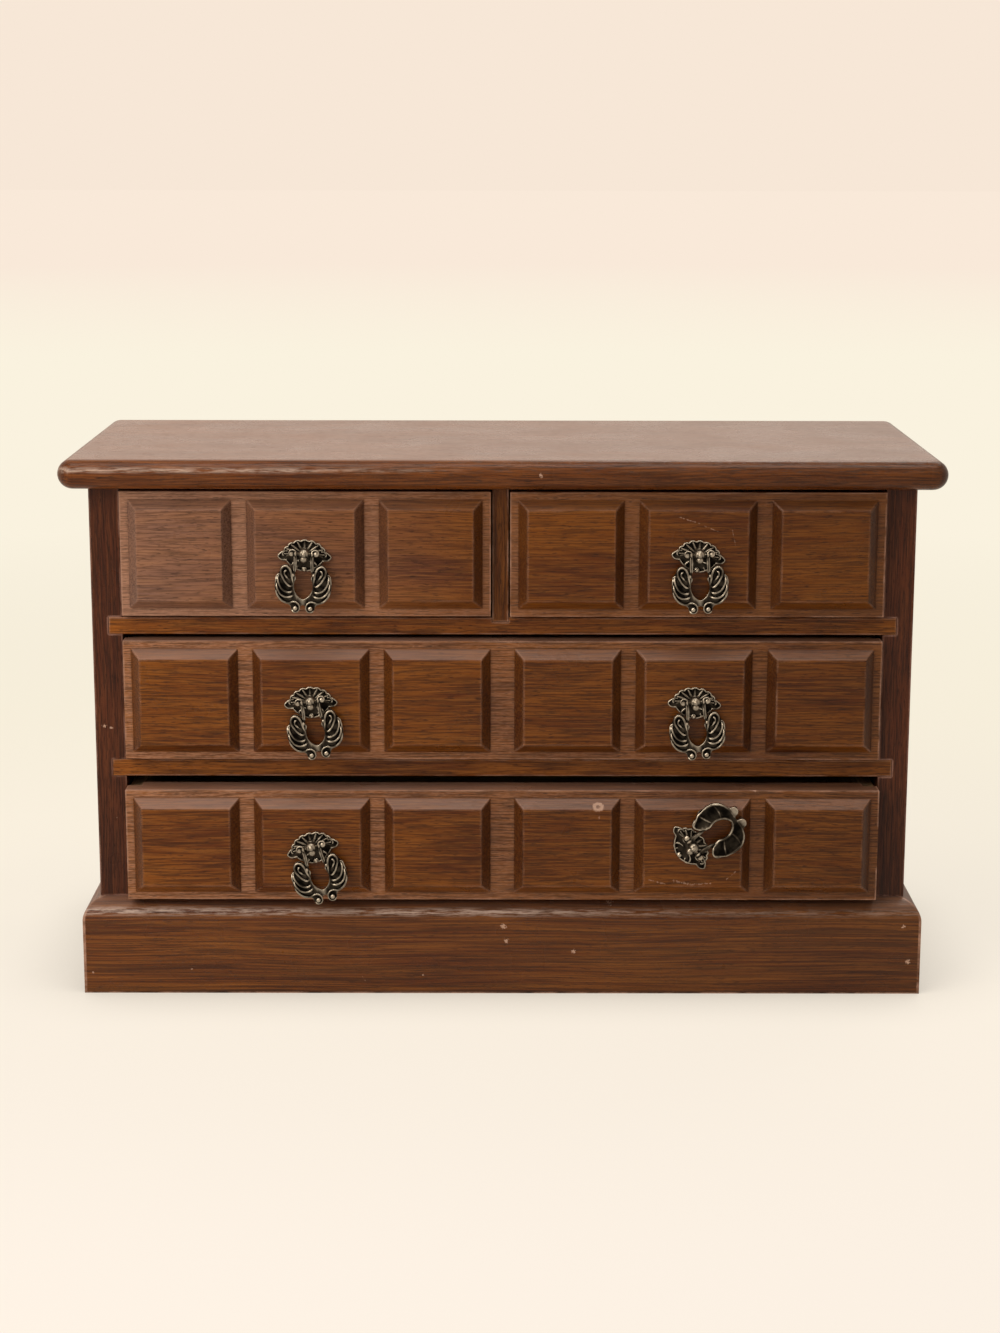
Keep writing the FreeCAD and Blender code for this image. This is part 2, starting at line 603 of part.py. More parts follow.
def pull_drop(name, x, y, z, flip):
    """Hanging ring on two arms, hinged by a peg on each arm; its origin is the pivot."""
    drop = new_body("pull_drop_" + name)
    outline = new_sketch(drop, f"drop_{name}_outline", "XZ_Plane")
    add_ellipse(outline, "-ring_drop", "ring_half_width", "ring_half_height", True)
    add_ellipse(outline, "-hole_drop", "hole_half_width", "hole_half_height", False)
    ring = pad(drop, outline, f"drop_{name}_ring", "ring_thickness")
    ring.SideType = "Symmetric"
    arm_inside = "(post_radius + arm_gap)"
    cut_box(drop, f"drop_{name}_throat",
            (f"-{arm_inside}", "-ring_thickness", "-hole_drop"),
            (f"2 * {arm_inside}", "2 * ring_thickness", "hole_drop"))
    for number, side in enumerate((-1, 1)):
        inner = arm_inside if side > 0 else f"(-{arm_inside} - arm_width)"
        shape_box(drop, "Additive", f"drop_{name}_arm_{number}",
                  (inner, "-arm_thickness / 2", "-ring_drop + ring_half_height * 0.6"),
                  ("arm_width", "arm_thickness", "ring_drop - ring_half_height * 0.6"))
        round_bar(drop, "Additive", f"drop_{name}_eye_{number}", "YZ_Plane", "eye_radius",
                  "arm_width", ("0", "0", inner))
        knob_x = f"{side} * ({arm_inside} + arm_width + knob_radius / 2)"
        ball(drop, f"drop_{name}_knob_{number}", "YZ_Plane", "knob_radius", ("0", "0", knob_x))
        peg_start = "post_radius - peg_reach" if side > 0 else f"-{arm_inside} - arm_width / 2"
        round_bar(drop, "Additive", f"drop_{name}_peg_{number}", "YZ_Plane", "peg_radius",
                  f"{arm_inside} + arm_width / 2 - post_radius + peg_reach",
                  ("0", "0", peg_start))
        ball(drop, f"drop_{name}_scroll_{number}", "XZ_Plane", "scroll_radius",
             (f"{side} * scroll_spacing / 2", "-(drop_length - scroll_radius)", "0"))
    thrown = FreeCAD.Rotation(vector(-1, 0, 0), flip)
    drop.Placement = FreeCAD.Placement(vector(0, 0, 0), turned(name).multiply(thrown))
    move_to(drop, x, y, z)
    keep(drop)


# Drawers. left and floor are the opening's left edge and floor, pulls the names
# of the pulls with their distance from the front's left end.
def drawer(name, left, opening_width, floor, opening, gap_over, pulls):
    x = f"({left} + drawer_side_gap)"
    width = f"({opening_width} - 2 * drawer_side_gap)"
    margin_y = f"({case_y} - ajar_{name})"
    front_z = f"({floor} + front_lift)"
    front_height = f"({opening} - front_lift - {gap_over})"
    side_z = f"({floor} + runner_gap)"
    side_height = f"({opening} - {gap_over} - side_drop - runner_gap)"
    groove_z = f"({side_z} + groove_lift)"
    is_wide = len(pulls) == 2

    # Front: flat margin at y = 0 and the fields raised towards -y
    front = new_body(f"drawer_{name}_front")
    outline = new_sketch(front, f"front_{name}_outline", "XZ_Plane")
    add_rectangle(outline, "0", "0", width, front_height)
    pad(front, outline, f"front_{name}_stock", front_base, backwards=True)
    if is_wide:
        narrow = (f"(({width} - 2 * field_margin - 4 * field_strip - center_strip"
                  " - 2 * wide_field) / 4)")
    else:
        narrow = f"(({width} - 2 * field_margin - 2 * field_strip - wide_field) / 2)"
    starts = ["field_margin"]
    widths = [narrow, "wide_field", narrow] * (2 if is_wide else 1)
    for number in range(1, len(widths)):
        strip = "center_strip" if number == 3 else "field_strip"
        starts.append(f"{starts[-1]} + {widths[number - 1]} + {strip}")
    fields = new_sketch(front, f"front_{name}_fields", "XZ_Plane")
    for start, field_width in zip(starts, widths):
        add_rectangle(fields, start, "field_margin", field_width,
                      f"{front_height} - 2 * field_margin")
    raised = pad(front, fields, f"front_{name}_raised", "field_rise")
    bind(raised, "TaperAngle", "-atan(bevel_width / field_rise)")
    for end, rebate_x in (("left", "0"), ("right", f"{width} - drawer_side_stock")):
        cut_box(front, f"front_{name}_lap_{end}", (rebate_x, f"{front_base} - front_lap", "0"),
                ("drawer_side_stock", "front_lap", front_height))
    cut_box(front, f"front_{name}_groove",
            ("drawer_side_stock - groove_depth", f"{front_base} - groove_depth",
             f"{groove_z} - {front_z}"),
            (f"{width} - 2 * (drawer_side_stock - groove_depth)", "groove_depth",
             "drawer_bottom_stock"))
    pull_height = f"({front_height} / 2 + pull_rise)"
    for pull, pull_x in pulls:
        round_bar(front, "Subtractive", f"front_{pull}_hole", "XZ_Plane",
                  "shank_radius + shank_gap", "front_stock + 2",
                  (pull_x, pull_height, f"-{front_base} - 1"))
    move_to(front, x, margin_y, front_z)
    keep(front)

    # Sides, grooved for the bottom
    side_start = f"({front_base} - front_lap)"
    side_length = f"({drawer_depth} - {side_start})"
    for end, side_x, groove_x in (
            ("left", x, "drawer_side_stock - groove_depth"),
            ("right", f"{x} + {width} - drawer_side_stock", "0")):
        side = board(f"drawer_{name}_side_{end}", "drawer_side_stock", side_length, side_height)
        cut_box(side, f"drawer_{name}_side_{end}_groove", (groove_x, "0", "groove_lift"),
                ("groove_depth", side_length, "drawer_bottom_stock"))
        move_to(side, side_x, f"{margin_y} + {side_start}", side_z)
        keep(side)

    # Back, standing on the bottom
    inner_width = f"({width} - 2 * drawer_side_stock)"
    floor_top = f"({groove_z} + drawer_bottom_stock)"
    back = board(f"drawer_{name}_back", inner_width, "drawer_back_stock",
                 f"{side_z} + {side_height} - drawer_back_drop - {floor_top}")
    move_to(back, f"{x} + drawer_side_stock",
            f"{margin_y} + {drawer_depth} - drawer_back_stock", floor_top)
    keep(back)

    # Bottom, in the grooves of the sides and front
    bottom_y = f"({front_base} - groove_depth)"
    bottom = board(f"drawer_{name}_bottom", f"{inner_width} + 2 * groove_depth",
                   f"{drawer_depth} - {bottom_y}", "drawer_bottom_stock")
    move_to(bottom, f"{x} + drawer_side_stock - groove_depth", f"{margin_y} + {bottom_y}",
            groove_z)
    keep(bottom)

    # Felt on the bottom
    lining = board(f"drawer_{name}_lining", f"{inner_width} - 2 * lining_gap",
                   f"{drawer_depth} - {front_base} - drawer_back_stock - 2 * lining_gap",
                   "lining_thickness")
    move_to(lining, f"{x} + drawer_side_stock + lining_gap",
            f"{margin_y} + {front_base} + lining_gap", floor_top)
    keep(lining)

    # Pulls
    posts = []
    nuts = []
    field_y = f"({margin_y} - field_rise)"
    pull_z = f"({front_z} + {pull_height})"
    for pull, pull_x in pulls:
        spot = (f"{x} + {pull_x}", field_y, pull_z)
        pull_plate(pull, spot)
        posts.append(pull_post(pull, spot))
        nuts.append(pull_nut(pull, f"{x} + {pull_x}", f"{margin_y} + {front_base}", pull_z))
        flip = size["flip_" + pull] if "flip_" + pull in size else 0
        pull_drop(pull, f"{x} + {pull_x}", f"{field_y} - pivot_out", pull_z, flip)
    for kind, pieces in (("posts", posts), ("nuts", nuts)):
        group = doc.addObject("Part::Compound", f"pull_{kind}_{name}")
        group.Links = pieces
        keep(group, f"pull_{kind}_{name}")


top_left_width = f"({divider_x} - {inside_x})"
top_right_x = f"({divider_x} + divider_thickness)"
top_right_width = f"({inside_x} + {inside_width} - {top_right_x})"
drawer("top_left", inside_x, top_left_width, top_floor_z, "top_opening",
       "gap_over_top_drawers", [("top_left", f"({top_left_width} / 2 - drawer_side_gap)")])
drawer("top_right", top_right_x, top_right_width, top_floor_z, "top_opening",
       "gap_over_top_drawers", [("top_right", f"({top_right_width} / 2 - drawer_side_gap)")])
wide_front = f"({inside_width} - 2 * drawer_side_gap)"
from_middle = (f"(center_strip / 2 + field_strip + wide_field / 2 + ({wide_front}"
               " - 2 * field_margin - 4 * field_strip - center_strip - 2 * wide_field) / 4)")
for row_name, floor, opening in (("middle", middle_floor_z, "middle_opening"),
                                 ("bottom", "plinth_height", "bottom_opening")):
    drawer(row_name, inside_x, inside_width, floor, opening, f"gap_over_{row_name}_drawer",
           [(row_name + "_left", f"({wide_front} / 2 - {from_middle})"),
            (row_name + "_right", f"({wide_front} / 2 + {from_middle})")])

doc.recompute()

# Every object must be up to date and every sub-part a valid solid before any file is written
for thing in doc.Objects:
    if "Invalid" in thing.State or "Error" in thing.State:
        raise RuntimeError(f"{thing.Label} did not build: {thing.State}")
for thing in nodes:
    if thing.Shape.isNull() or not thing.Shape.isValid() or not thing.Shape.Solids:
        raise RuntimeError(f"{thing.Label} has no valid shape")
for thing in nodes:
    thing.Shape.exportStep(f"parts/{thing.Label}.step")
print(len(nodes), "sub-parts written")
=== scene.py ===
import bpy
import bmesh
import json
import math
from mathutils import Matrix, Vector


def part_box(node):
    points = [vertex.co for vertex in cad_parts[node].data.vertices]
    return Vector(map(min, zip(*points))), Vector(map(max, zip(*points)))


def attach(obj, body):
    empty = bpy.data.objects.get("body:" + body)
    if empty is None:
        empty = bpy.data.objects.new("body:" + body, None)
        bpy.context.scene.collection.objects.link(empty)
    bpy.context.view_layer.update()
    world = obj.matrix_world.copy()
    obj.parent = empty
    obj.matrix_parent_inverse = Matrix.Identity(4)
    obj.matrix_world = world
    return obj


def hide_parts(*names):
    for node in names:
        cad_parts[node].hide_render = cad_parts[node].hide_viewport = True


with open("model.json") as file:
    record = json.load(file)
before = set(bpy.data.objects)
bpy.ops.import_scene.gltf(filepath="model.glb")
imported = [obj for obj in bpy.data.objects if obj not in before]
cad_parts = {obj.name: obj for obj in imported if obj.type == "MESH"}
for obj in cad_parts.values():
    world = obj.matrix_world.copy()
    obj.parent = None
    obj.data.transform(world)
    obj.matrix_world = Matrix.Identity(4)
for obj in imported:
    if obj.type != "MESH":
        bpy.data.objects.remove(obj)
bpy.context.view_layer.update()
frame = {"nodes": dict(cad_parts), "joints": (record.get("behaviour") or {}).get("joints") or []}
nodes = frame["nodes"]
joints = {joint["name"]: joint for joint in frame["joints"]}
print("frame loaded,", len(nodes), "nodes")

mm = 0.001


def linear(code):
    # sRGB hex to the linear values that shaders take
    parts = [int(code[i:i + 2], 16) / 255 for i in (1, 3, 5)]
    return tuple(p / 12.92 if p <= 0.04045 else ((p + 0.055) / 1.055) ** 2.4 for p in parts) + (1.0,)


def addNode(tree, kind, sockets=(), **settings):
    # one shader node: its settings, then its values and whatever is linked into it; a list fills the inputs
    # in order, which in a map range are value, from min, from max, to min, to max; a node that is linked in
    # gives its first output in use
    new = tree.nodes.new("ShaderNode" + kind)
    stops = settings.pop("stops", None)
    for key, value in settings.items():
        setattr(new, key, value)
    for key, value in sockets.items() if isinstance(sockets, dict) else enumerate(sockets):
        if isinstance(value, bpy.types.Node):
            value = next(output for output in value.outputs if output.enabled)
        if isinstance(value, bpy.types.NodeSocket):
            tree.links.new(value, new.inputs[key])
        else:
            new.inputs[key].default_value = value
    if stops:
        while len(new.color_ramp.elements) < len(stops):
            new.color_ramp.elements.new(1.0)
        for element, (place, colour) in zip(new.color_ramp.elements, stops):
            element.position = place
            element.color = colour
    return new


def emptyMaterial(name):
    made = bpy.data.materials.new(name)
    made.use_nodes = True
    made.node_tree.nodes.clear()
    return made, made.node_tree


def layOver(tree, colour, coats):
    # one coat over the other: amount and colour of each
    for amount, tone in coats:
        colour = addNode(tree, "Mix", {0: amount, 6: colour, 7: linear(tone)}, data_type="RGBA")
    return colour


def placeInMm(tree):
    # each point's place in its piece's own frame
    place = addNode(tree, "TexCoord").outputs["Object"]
    return addNode(tree, "VectorMath", {0: place, "Scale": 1000.0}, operation="SCALE")


def addObject(name, data):
    made = bpy.data.objects.new(name, data)
    bpy.context.scene.collection.objects.link(made)
    return made


# camera, fitted to the edges of the chest in the photograph

cameraPlace = {
    "place": (-2.6, -1152.1, 377.2),  # mm from the middle of the foot
    "lens": 69.28,      # on a 36 mm long side
    "down": 11.935,     # degrees
    "toRight": 0.078,
    "roll": 0.10,
}
cameraData = bpy.data.cameras.new("camera")
cameraData.lens = cameraPlace["lens"]
cameraData.sensor_width = 36
cameraData.clip_start = 0.02
cameraData.clip_end = 60
camera = addObject("camera", cameraData)
camera.matrix_world = (
    Matrix.Translation(Vector(cameraPlace["place"]) * mm)
    @ Matrix.Rotation(math.radians(-cameraPlace["toRight"]), 4, "Z")
    @ Matrix.Rotation(math.radians(90 - cameraPlace["down"]), 4, "X")
    @ Matrix.Rotation(math.radians(cameraPlace["roll"]), 4, "Z")
)
bpy.context.scene.camera = camera
bpy.context.scene.view_settings.view_transform = "Standard"

# floor, backdrop and lamps

studio = {
    "floorFront": "#fbf1e5",
    "floorBehind": "#faf2df",
    "floorFar": "#f9e9d9",
    "backdrop": "#f7e7d7",
    "fill": "#fffaf4",
    "floorHalf": 14.0,          # m
    "behindAt": (-0.35, 0.5),   # m, from where to where the floor takes the tone behind the object
    "farAt": (3.2, 6.0),        # m from the middle, the same for the far tone
    "ownGlow": 0.80,            # part of the floor's tone that shadows don't reach, so they stay faint
    "glowAt": (0.45, 1.3),      # m from the middle, over which that part rises to the whole
    "contact": 45.0,            # mm, reach of the contact shadow
    "contactAt": (0.3, 0.95),   # openness at which it is full and at which it ends
    "contactTone": 0.62,
    "ambient": 0.25,
    "lampsAim": (0, -0.03, 0.1),
    # name: (place in m, size in m, watts, colour)
    "keyLamp": ((-0.80, -0.85, 0.84), (0.95, 0.75), 10.5, "#fff6ea"),
    "overhead": ((0.0, -0.26, 1.30), (1.2, 0.5), 8.0, "#fffaf2"),
    "backFill": ((0.45, 0.80, 1.15), (0.8, 0.5), 4.5, "#fffaf2"),
}


def shownRays(tree):
    # 1 where the camera, a reflection or a refraction looks, so that metal shows the paper as the camera does
    ray = addNode(tree, "LightPath").outputs
    seen = addNode(tree, "Math", [ray["Is Camera Ray"], ray["Is Glossy Ray"]], operation="MAXIMUM")
    return addNode(tree, "Math", [seen, ray["Is Transmission Ray"]], operation="MAXIMUM")


def makeFloor():
    mesh = bpy.data.meshes.new("floor")
    build = bmesh.new()
    bmesh.ops.create_grid(build, x_segments=8, y_segments=8, size=studio["floorHalf"])
    build.to_mesh(mesh)
    build.free()
    floor = addObject("floor", mesh)

    # matt studio paper: even, with no gloss; away from the object it turns into the backdrop's tone
    paper, tree = emptyMaterial("mattStudioPaper")
    place = addNode(tree, "NewGeometry").outputs["Position"]
    split = addNode(tree, "SeparateXYZ", [place])
    behind = addNode(tree, "MapRange", [split.outputs["Y"], *studio["behindAt"]])
    away = addNode(tree, "VectorMath", [place], operation="LENGTH")
    far = addNode(tree, "MapRange", [away, *studio["farAt"]])
    coats = [(behind, studio["floorBehind"]), (far, studio["floorFar"])]
    tone = layOver(tree, linear(studio["floorFront"]), coats)
    lit = addNode(tree, "BsdfDiffuse", {"Color": tone})
    # the glow stops where something stands close over the paper, so the foot keeps its contact shadow
    above = addNode(tree, "AmbientOcclusion", {"Distance": studio["contact"] * mm}, samples=8)
    above = addNode(tree, "MapRange", [above.outputs["AO"], *studio["contactAt"], studio["contactTone"]])
    own = addNode(tree, "Emission", {"Color": tone, "Strength": above})
    near = addNode(tree, "MapRange", [away, *studio["glowAt"], studio["ownGlow"], 1.0])
    part = addNode(tree, "Math", [shownRays(tree), near], operation="MULTIPLY")
    both = addNode(tree, "MixShader", [part, lit, own])
    addNode(tree, "OutputMaterial", {"Surface": both})
    mesh.materials.append(paper)


def makeBackdrop():
    world = bpy.data.worlds.new("backdrop")
    bpy.context.scene.world = world
    world.use_nodes = True
    tree = world.node_tree
    tree.nodes.clear()
    fill = addNode(tree, "Background", [linear(studio["fill"]), studio["ambient"]])
    shown = addNode(tree, "Background", [linear(studio["backdrop"]), 1.0])
    both = addNode(tree, "MixShader", [shownRays(tree), fill, shown])
    addNode(tree, "OutputWorld", {"Surface": both})


def makeLamp(name):
    place, size, watts, colour = studio[name]
    data = bpy.data.lights.new(name, "AREA")
    data.shape = "RECTANGLE"
    data.size, data.size_y = size
    data.energy = watts
    data.color = linear(colour)[:3]
    lamp = addObject(name, data)
    lamp.location = place
    lamp.rotation_mode = "QUATERNION"
    lamp.rotation_quaternion = (Vector(place) - Vector(studio["lampsAim"])).to_track_quat("Z", "Y")


makeFloor()
makeBackdrop()
for lampName in ("keyLamp", "overhead", "backFill"):
    makeLamp(lampName)
print("camera, floor and lamps made")

# marks that the photograph shows, in mm: place, radius
chips = [
    ((109.8, -69.6, 94.0), 1.4), ((47.4, -64.0, 40.0), 1.5), ((0.5, -68.4, 31.1), 1.3),
    ((1.8, -68.4, 24.2), 1.1), ((31.5, -68.4, 19.5), 1.0), ((179.6, -68.4, 14.9), 1.2),
    ((177.1, -68.4, 31.0), 0.9), ((-148.3, -72.0, 90.2), 0.8), ((-120.5, -72.0, 90.2), 0.8),
    ((-174.0, -59.6, 119.5), 0.9), ((-170.9, -59.6, 118.6), 0.7), ((16.1, -71.6, 231.5), 0.9),
]
# a ring left by something hot: place, radius, half width
ringMark = ((41.7, -74.0, 87.8), 2.1, 0.85)
# scratches: from, to, half width
scratches = [
    ((74.7, -69.4, 213.7), (84.5, -69.4, 210.6), 0.28),
    ((86.0, -69.4, 209.8), (91.9, -69.4, 207.3), 0.24),
    ((98.0, -69.4, 208.0), (99.5, -69.4, 200.5), 0.22),
    ((64.0, -74.4, 54.3), (71.0, -74.4, 52.3), 0.40),
    ((75.0, -74.4, 53.8), (83.0, -74.4, 51.9), 0.55),
    ((82.0, -74.4, 52.0), (91.0, -74.4, 52.6), 0.45),
    ((98.0, -74.4, 54.5), (102.0, -74.4, 58.0), 0.30),
    ((42.6, -74.0, 84.8), (41.9, -74.4, 81.8), 0.42),
    ((-62.0, -68.4, 8.0), (-60.5, -68.4, 5.5), 0.25),
    ((120.0, -71.0, 233.0), (134.0, -70.8, 233.6), 0.20),
]
# varnish that has dried into wrinkles: middle, radius, size of the wrinkles and their height
wrinkled = ((-27.0, -68.4, 192.0), 24.0, 1.9, 0.28)

# what noise does to the outline of a mark, where the mark starts and where it is full, in its radius or half
# width (the ring's first in mm), and its strength
markKinds = {
    "chip": (-3.4, -0.75, -1.15, 0.7), "ring": (1.6, 1.0, 0.4, 0.62), "scratch": (5.0, 3.2, 2.0, 0.42),
}

# what all the woods share
wood = {
    # noises of the handling: mm along and across the fibres, detail, roughness
    "handling": {
        "settled": (70, 5, 4.0, 0.5),   # dust and painted sheen
        "patch": (16, 9, 4.0, 0.65),    # wear on the edges
        "highlightStreak": (9, 0.9, 4.0, 0.7),   # breaks the painted highlight on the rounds into streaks
    },
    "apart": (731.0, 417.0, 593.0),     # mm, most that a board's wood lies from another's
    "bends": (1 / 90, 1 / 35, 1 / 35),  # per mm, slow bends of the fibres
    "wobble": 1.3,                      # per mm, of the noise that makes outlines wavy
    "nickEvery": 26, "nickStray": 0.05, "patches": 30, "peelSize": 1.6, "chipDepth": 0.12,  # mm, but the stray
    "poreRough": 0.2, "chipRough": 0.3,  # how much duller open pores and chips are
    # from where to where a noise or a measure counts
    "toneAt": (0.36, 0.64), "figureAt": (0.40, 0.66), "linesAt": (0.46, 0.58), "poresAt": (0.60, 0.70),
    "cutAt": (0.3, 0.6),                # part of a face's normal along the fibres
    "stripSheenAt": (0.03, 0.01),             # off the depth of the sunk strips
    "stripSheenFaces": (-0.9, -0.99),         # part of the normal to the front
    "stripSheenPores": (0.35, 0.6), "settledAt": (0.3, 0.6), "patchAt": (0.38, 0.60), "highlightStreakAt": (0.41, 0.62),
    "stripSheenAcross": (-120.0, 120.0), "paintedFalloffAcross": (-180.0, 180.0), "dustAcross": (-60.0, 150.0),  # mm
    "footAt": (1.8, 0.5),               # mm over the floor
    "cornerDirtAndShadeAt": (0.97, 0.62), "edgeAt": (0.97, 0.72),  # openness
    "highlightBandAt": (0.26, 0.04),             # off the normal of the painted highlight band
    "highlightReach": 90.0,                  # mm over which the painted highlight lessens
    "nickAt": (0.045, 0.034), "roughAt": (0.35, 0.65),
}


def woodMaterial(name, look, grain):
    # grain is the axis that the fibres run along
    made, tree = emptyMaterial(name)
    inMm = placeInMm(tree)
    at = addNode(tree, "SeparateXYZ", [inMm]).outputs
    coordinates = addNode(tree, "TexCoord").outputs
    facing = addNode(tree, "SeparateXYZ", [coordinates["Normal"]]).outputs
    # every board is cut from another place of the same wood
    board = addNode(tree, "ObjectInfo").outputs["Random"]
    shift = addNode(tree, "VectorMath", {0: wood["apart"], "Scale": board}, operation="SCALE")
    moved = addNode(tree, "VectorMath", [inMm, shift], operation="ADD")
    if grain != "X":
        split = addNode(tree, "SeparateXYZ", [moved]).outputs
        order = {"Y": "YXZ", "Z": "ZXY"}[grain]
        moved = addNode(tree, "CombineXYZ", [split[axis] for axis in order])

    # a slow bend, so that the fibres aren't ruled lines
    bendAt = addNode(tree, "VectorMath", [moved, wood["bends"]], operation="MULTIPLY")
    bend = addNode(tree, "TexNoise", {"Vector": bendAt, "Scale": 1.0, "Detail": 1.0})
    bent = addNode(tree, "VectorMath", [bend.outputs["Color"], (0.5, 0.5, 0.5)], operation="SUBTRACT")
    sideways = (0.0, look["bend"], look["bend"])
    bent = addNode(tree, "VectorMath", [bent, sideways], operation="MULTIPLY")
    fibre = addNode(tree, "VectorMath", [moved, bent], operation="ADD")
    noises = {}
    for space, layers in ((fibre, look["layers"]), (moved, wood["handling"])):
        for layer, (along, across, detail, rough) in layers.items():
            sizes = (1 / along, 1 / across, 1 / across)
            scaled = addNode(tree, "VectorMath", [space, sizes], operation="MULTIPLY")
            noises[layer] = addNode(tree, "TexNoise", {
                "Vector": scaled, "Scale": 1.0, "Detail": detail, "Roughness": rough})

    # stain: broad tone, then figure; cut fibre ends have soaked up more of it
    broad = addNode(tree, "MapRange", [noises["tone"], *wood["toneAt"]])
    figure = addNode(tree, "MapRange", [noises["figure"], *wood["figureAt"], 0.0, look["figure"]])
    cut = addNode(tree, "Math", [facing[grain]], operation="ABSOLUTE")
    cut = addNode(tree, "MapRange", [cut, *wood["cutAt"], 0.0, look["endGrain"]])
    coats = [(broad, look["warm"]), (figure, look["light"]), (cut, look["endTone"])]
    if look["sunk"]:
        # painted sheen on the flat strips sunk between the raised fields: a pale film caught in the pores,
        # more of it on the left, nearer the key lamp
        depth, most, least = look["sunk"]
        stripSheen = addNode(tree, "SeparateXYZ", [coordinates["Generated"]]).outputs["Y"]
        stripSheen = addNode(tree, "Math", [stripSheen, depth], operation="SUBTRACT")
        stripSheen = addNode(tree, "Math", [stripSheen], operation="ABSOLUTE")
        stripSheen = addNode(tree, "MapRange", [stripSheen, *wood["stripSheenAt"]])
        amount = addNode(tree, "MapRange", [at["X"], *wood["stripSheenAcross"], most, least])
        flat = addNode(tree, "MapRange", [facing["Y"], *wood["stripSheenFaces"], 0.0, amount])
        caught = addNode(tree, "MapRange", [noises["pores"], *wood["stripSheenPores"], 0.3, 1.0])
        for share in (flat, caught):
            stripSheen = addNode(tree, "Math", [stripSheen, share], operation="MULTIPLY")
        coats.append((stripSheen, look["stripSheen"]))
    if look["paintedSheen"]:
        # painted sheen: a pinkish haze standing for the key lamp's reflection on the varnish, thinning out
        # from the left end
        amount, start, end = look["paintedSheen"]
        paintedSheenAmount = addNode(tree, "MapRange", [at["X"], start, end, amount, 0.0])
        coats.append((paintedSheenAmount, look["dustColour"]))
    lines = addNode(tree, "MapRange", [noises["lines"], *wood["linesAt"], 0.0, look["lines"]])
    pores = addNode(tree, "MapRange", [noises["pores"], *wood["poresAt"]])
    openPores = addNode(tree, "Math", [pores, look["pores"]], operation="MULTIPLY")
    coats += [(lines, look["dark"]), (openPores, look["dark"])]
    colour = layOver(tree, linear(look["deep"]), coats)

    # painted light: the colour is scaled lighter at the left end, nearer the key lamp, than at the right; on
    # upward faces a pale coat that is partly settled dust and partly painted sheen, more of it at the left end
    paintedFalloff = addNode(tree, "MapRange", [at["X"], *wood["paintedFalloffAcross"], *look["paintedFalloff"]])
    colour = addNode(tree, "VectorMath", {0: colour, "Scale": paintedFalloff}, operation="SCALE")
    rightDustAndSheen = look["dust"] * look["dustRight"]
    dust = addNode(tree, "MapRange", [at["X"], *wood["dustAcross"], look["dust"], rightDustAndSheen])
    dust = addNode(tree, "MapRange", [facing["Z"], *look["dustOn"], 0.0, dust])
    settled = addNode(tree, "MapRange", [noises["settled"], *wood["settledAt"], 0.8])
    dust = addNode(tree, "Math", [dust, settled], operation="MULTIPLY")
    coats = [(dust, look["dustColour"])]
    if look["foot"]:
        # painted shade along the lowest edge, where the foot meets the floor
        footShade = addNode(tree, "MapRange", [at["Z"], *wood["footAt"], 0.0, look["foot"]])
        coats.append((footShade, look["dark"]))

    # dirt and painted shade in inner corners, and varnish rubbed thin on outer edges
    inner = addNode(tree, "AmbientOcclusion", {"Distance": look["cornerDirtAndShadeReach"] * mm}, samples=4,
                    only_local=True)
    cornerDirtAndShade = addNode(tree, "MapRange", [inner.outputs["AO"], *wood["cornerDirtAndShadeAt"], 0.0, look["cornerDirtAndShade"]])
    outer = addNode(tree, "AmbientOcclusion", {"Distance": look["wearReach"] * mm}, samples=4,
                    only_local=True, inside=True)
    edge = addNode(tree, "MapRange", [outer.outputs["AO"], *wood["edgeAt"]])
    patchy = addNode(tree, "MapRange", [noises["patch"], *wood["patchAt"], 0.0, look["wear"]])
    wear = addNode(tree, "Math", [edge, patchy], operation="MULTIPLY")

    # painted highlight on long rounded edges: a pale, broken band along the upper side of the round, where the
    # lamps reflect, more of it at the left end, nearer the key lamp
    amount, rightShare, start = look["roundHighlight"]
    highlightBand = addNode(tree, "Math", [facing["Z"], look["highlightAt"]], operation="SUBTRACT")
    highlightBand = addNode(tree, "Math", [highlightBand], operation="ABSOLUTE")
    highlightBand = addNode(tree, "MapRange", [highlightBand, *wood["highlightBandAt"], 0.0, amount])
    highlightFalloff = addNode(tree, "MapRange", [at["X"], start, start + wood["highlightReach"], 1.0, rightShare])
    highlightStreak = addNode(tree, "MapRange", [noises["highlightStreak"], *wood["highlightStreakAt"]])
    for share in (highlightFalloff, highlightStreak):
        highlightBand = addNode(tree, "Math", [highlightBand, share], operation="MULTIPLY")
    coats += [(cornerDirtAndShade, look["dark"]), (wear, look["worn"]), (highlightBand, look["rubbedAndHighlightTone"])]

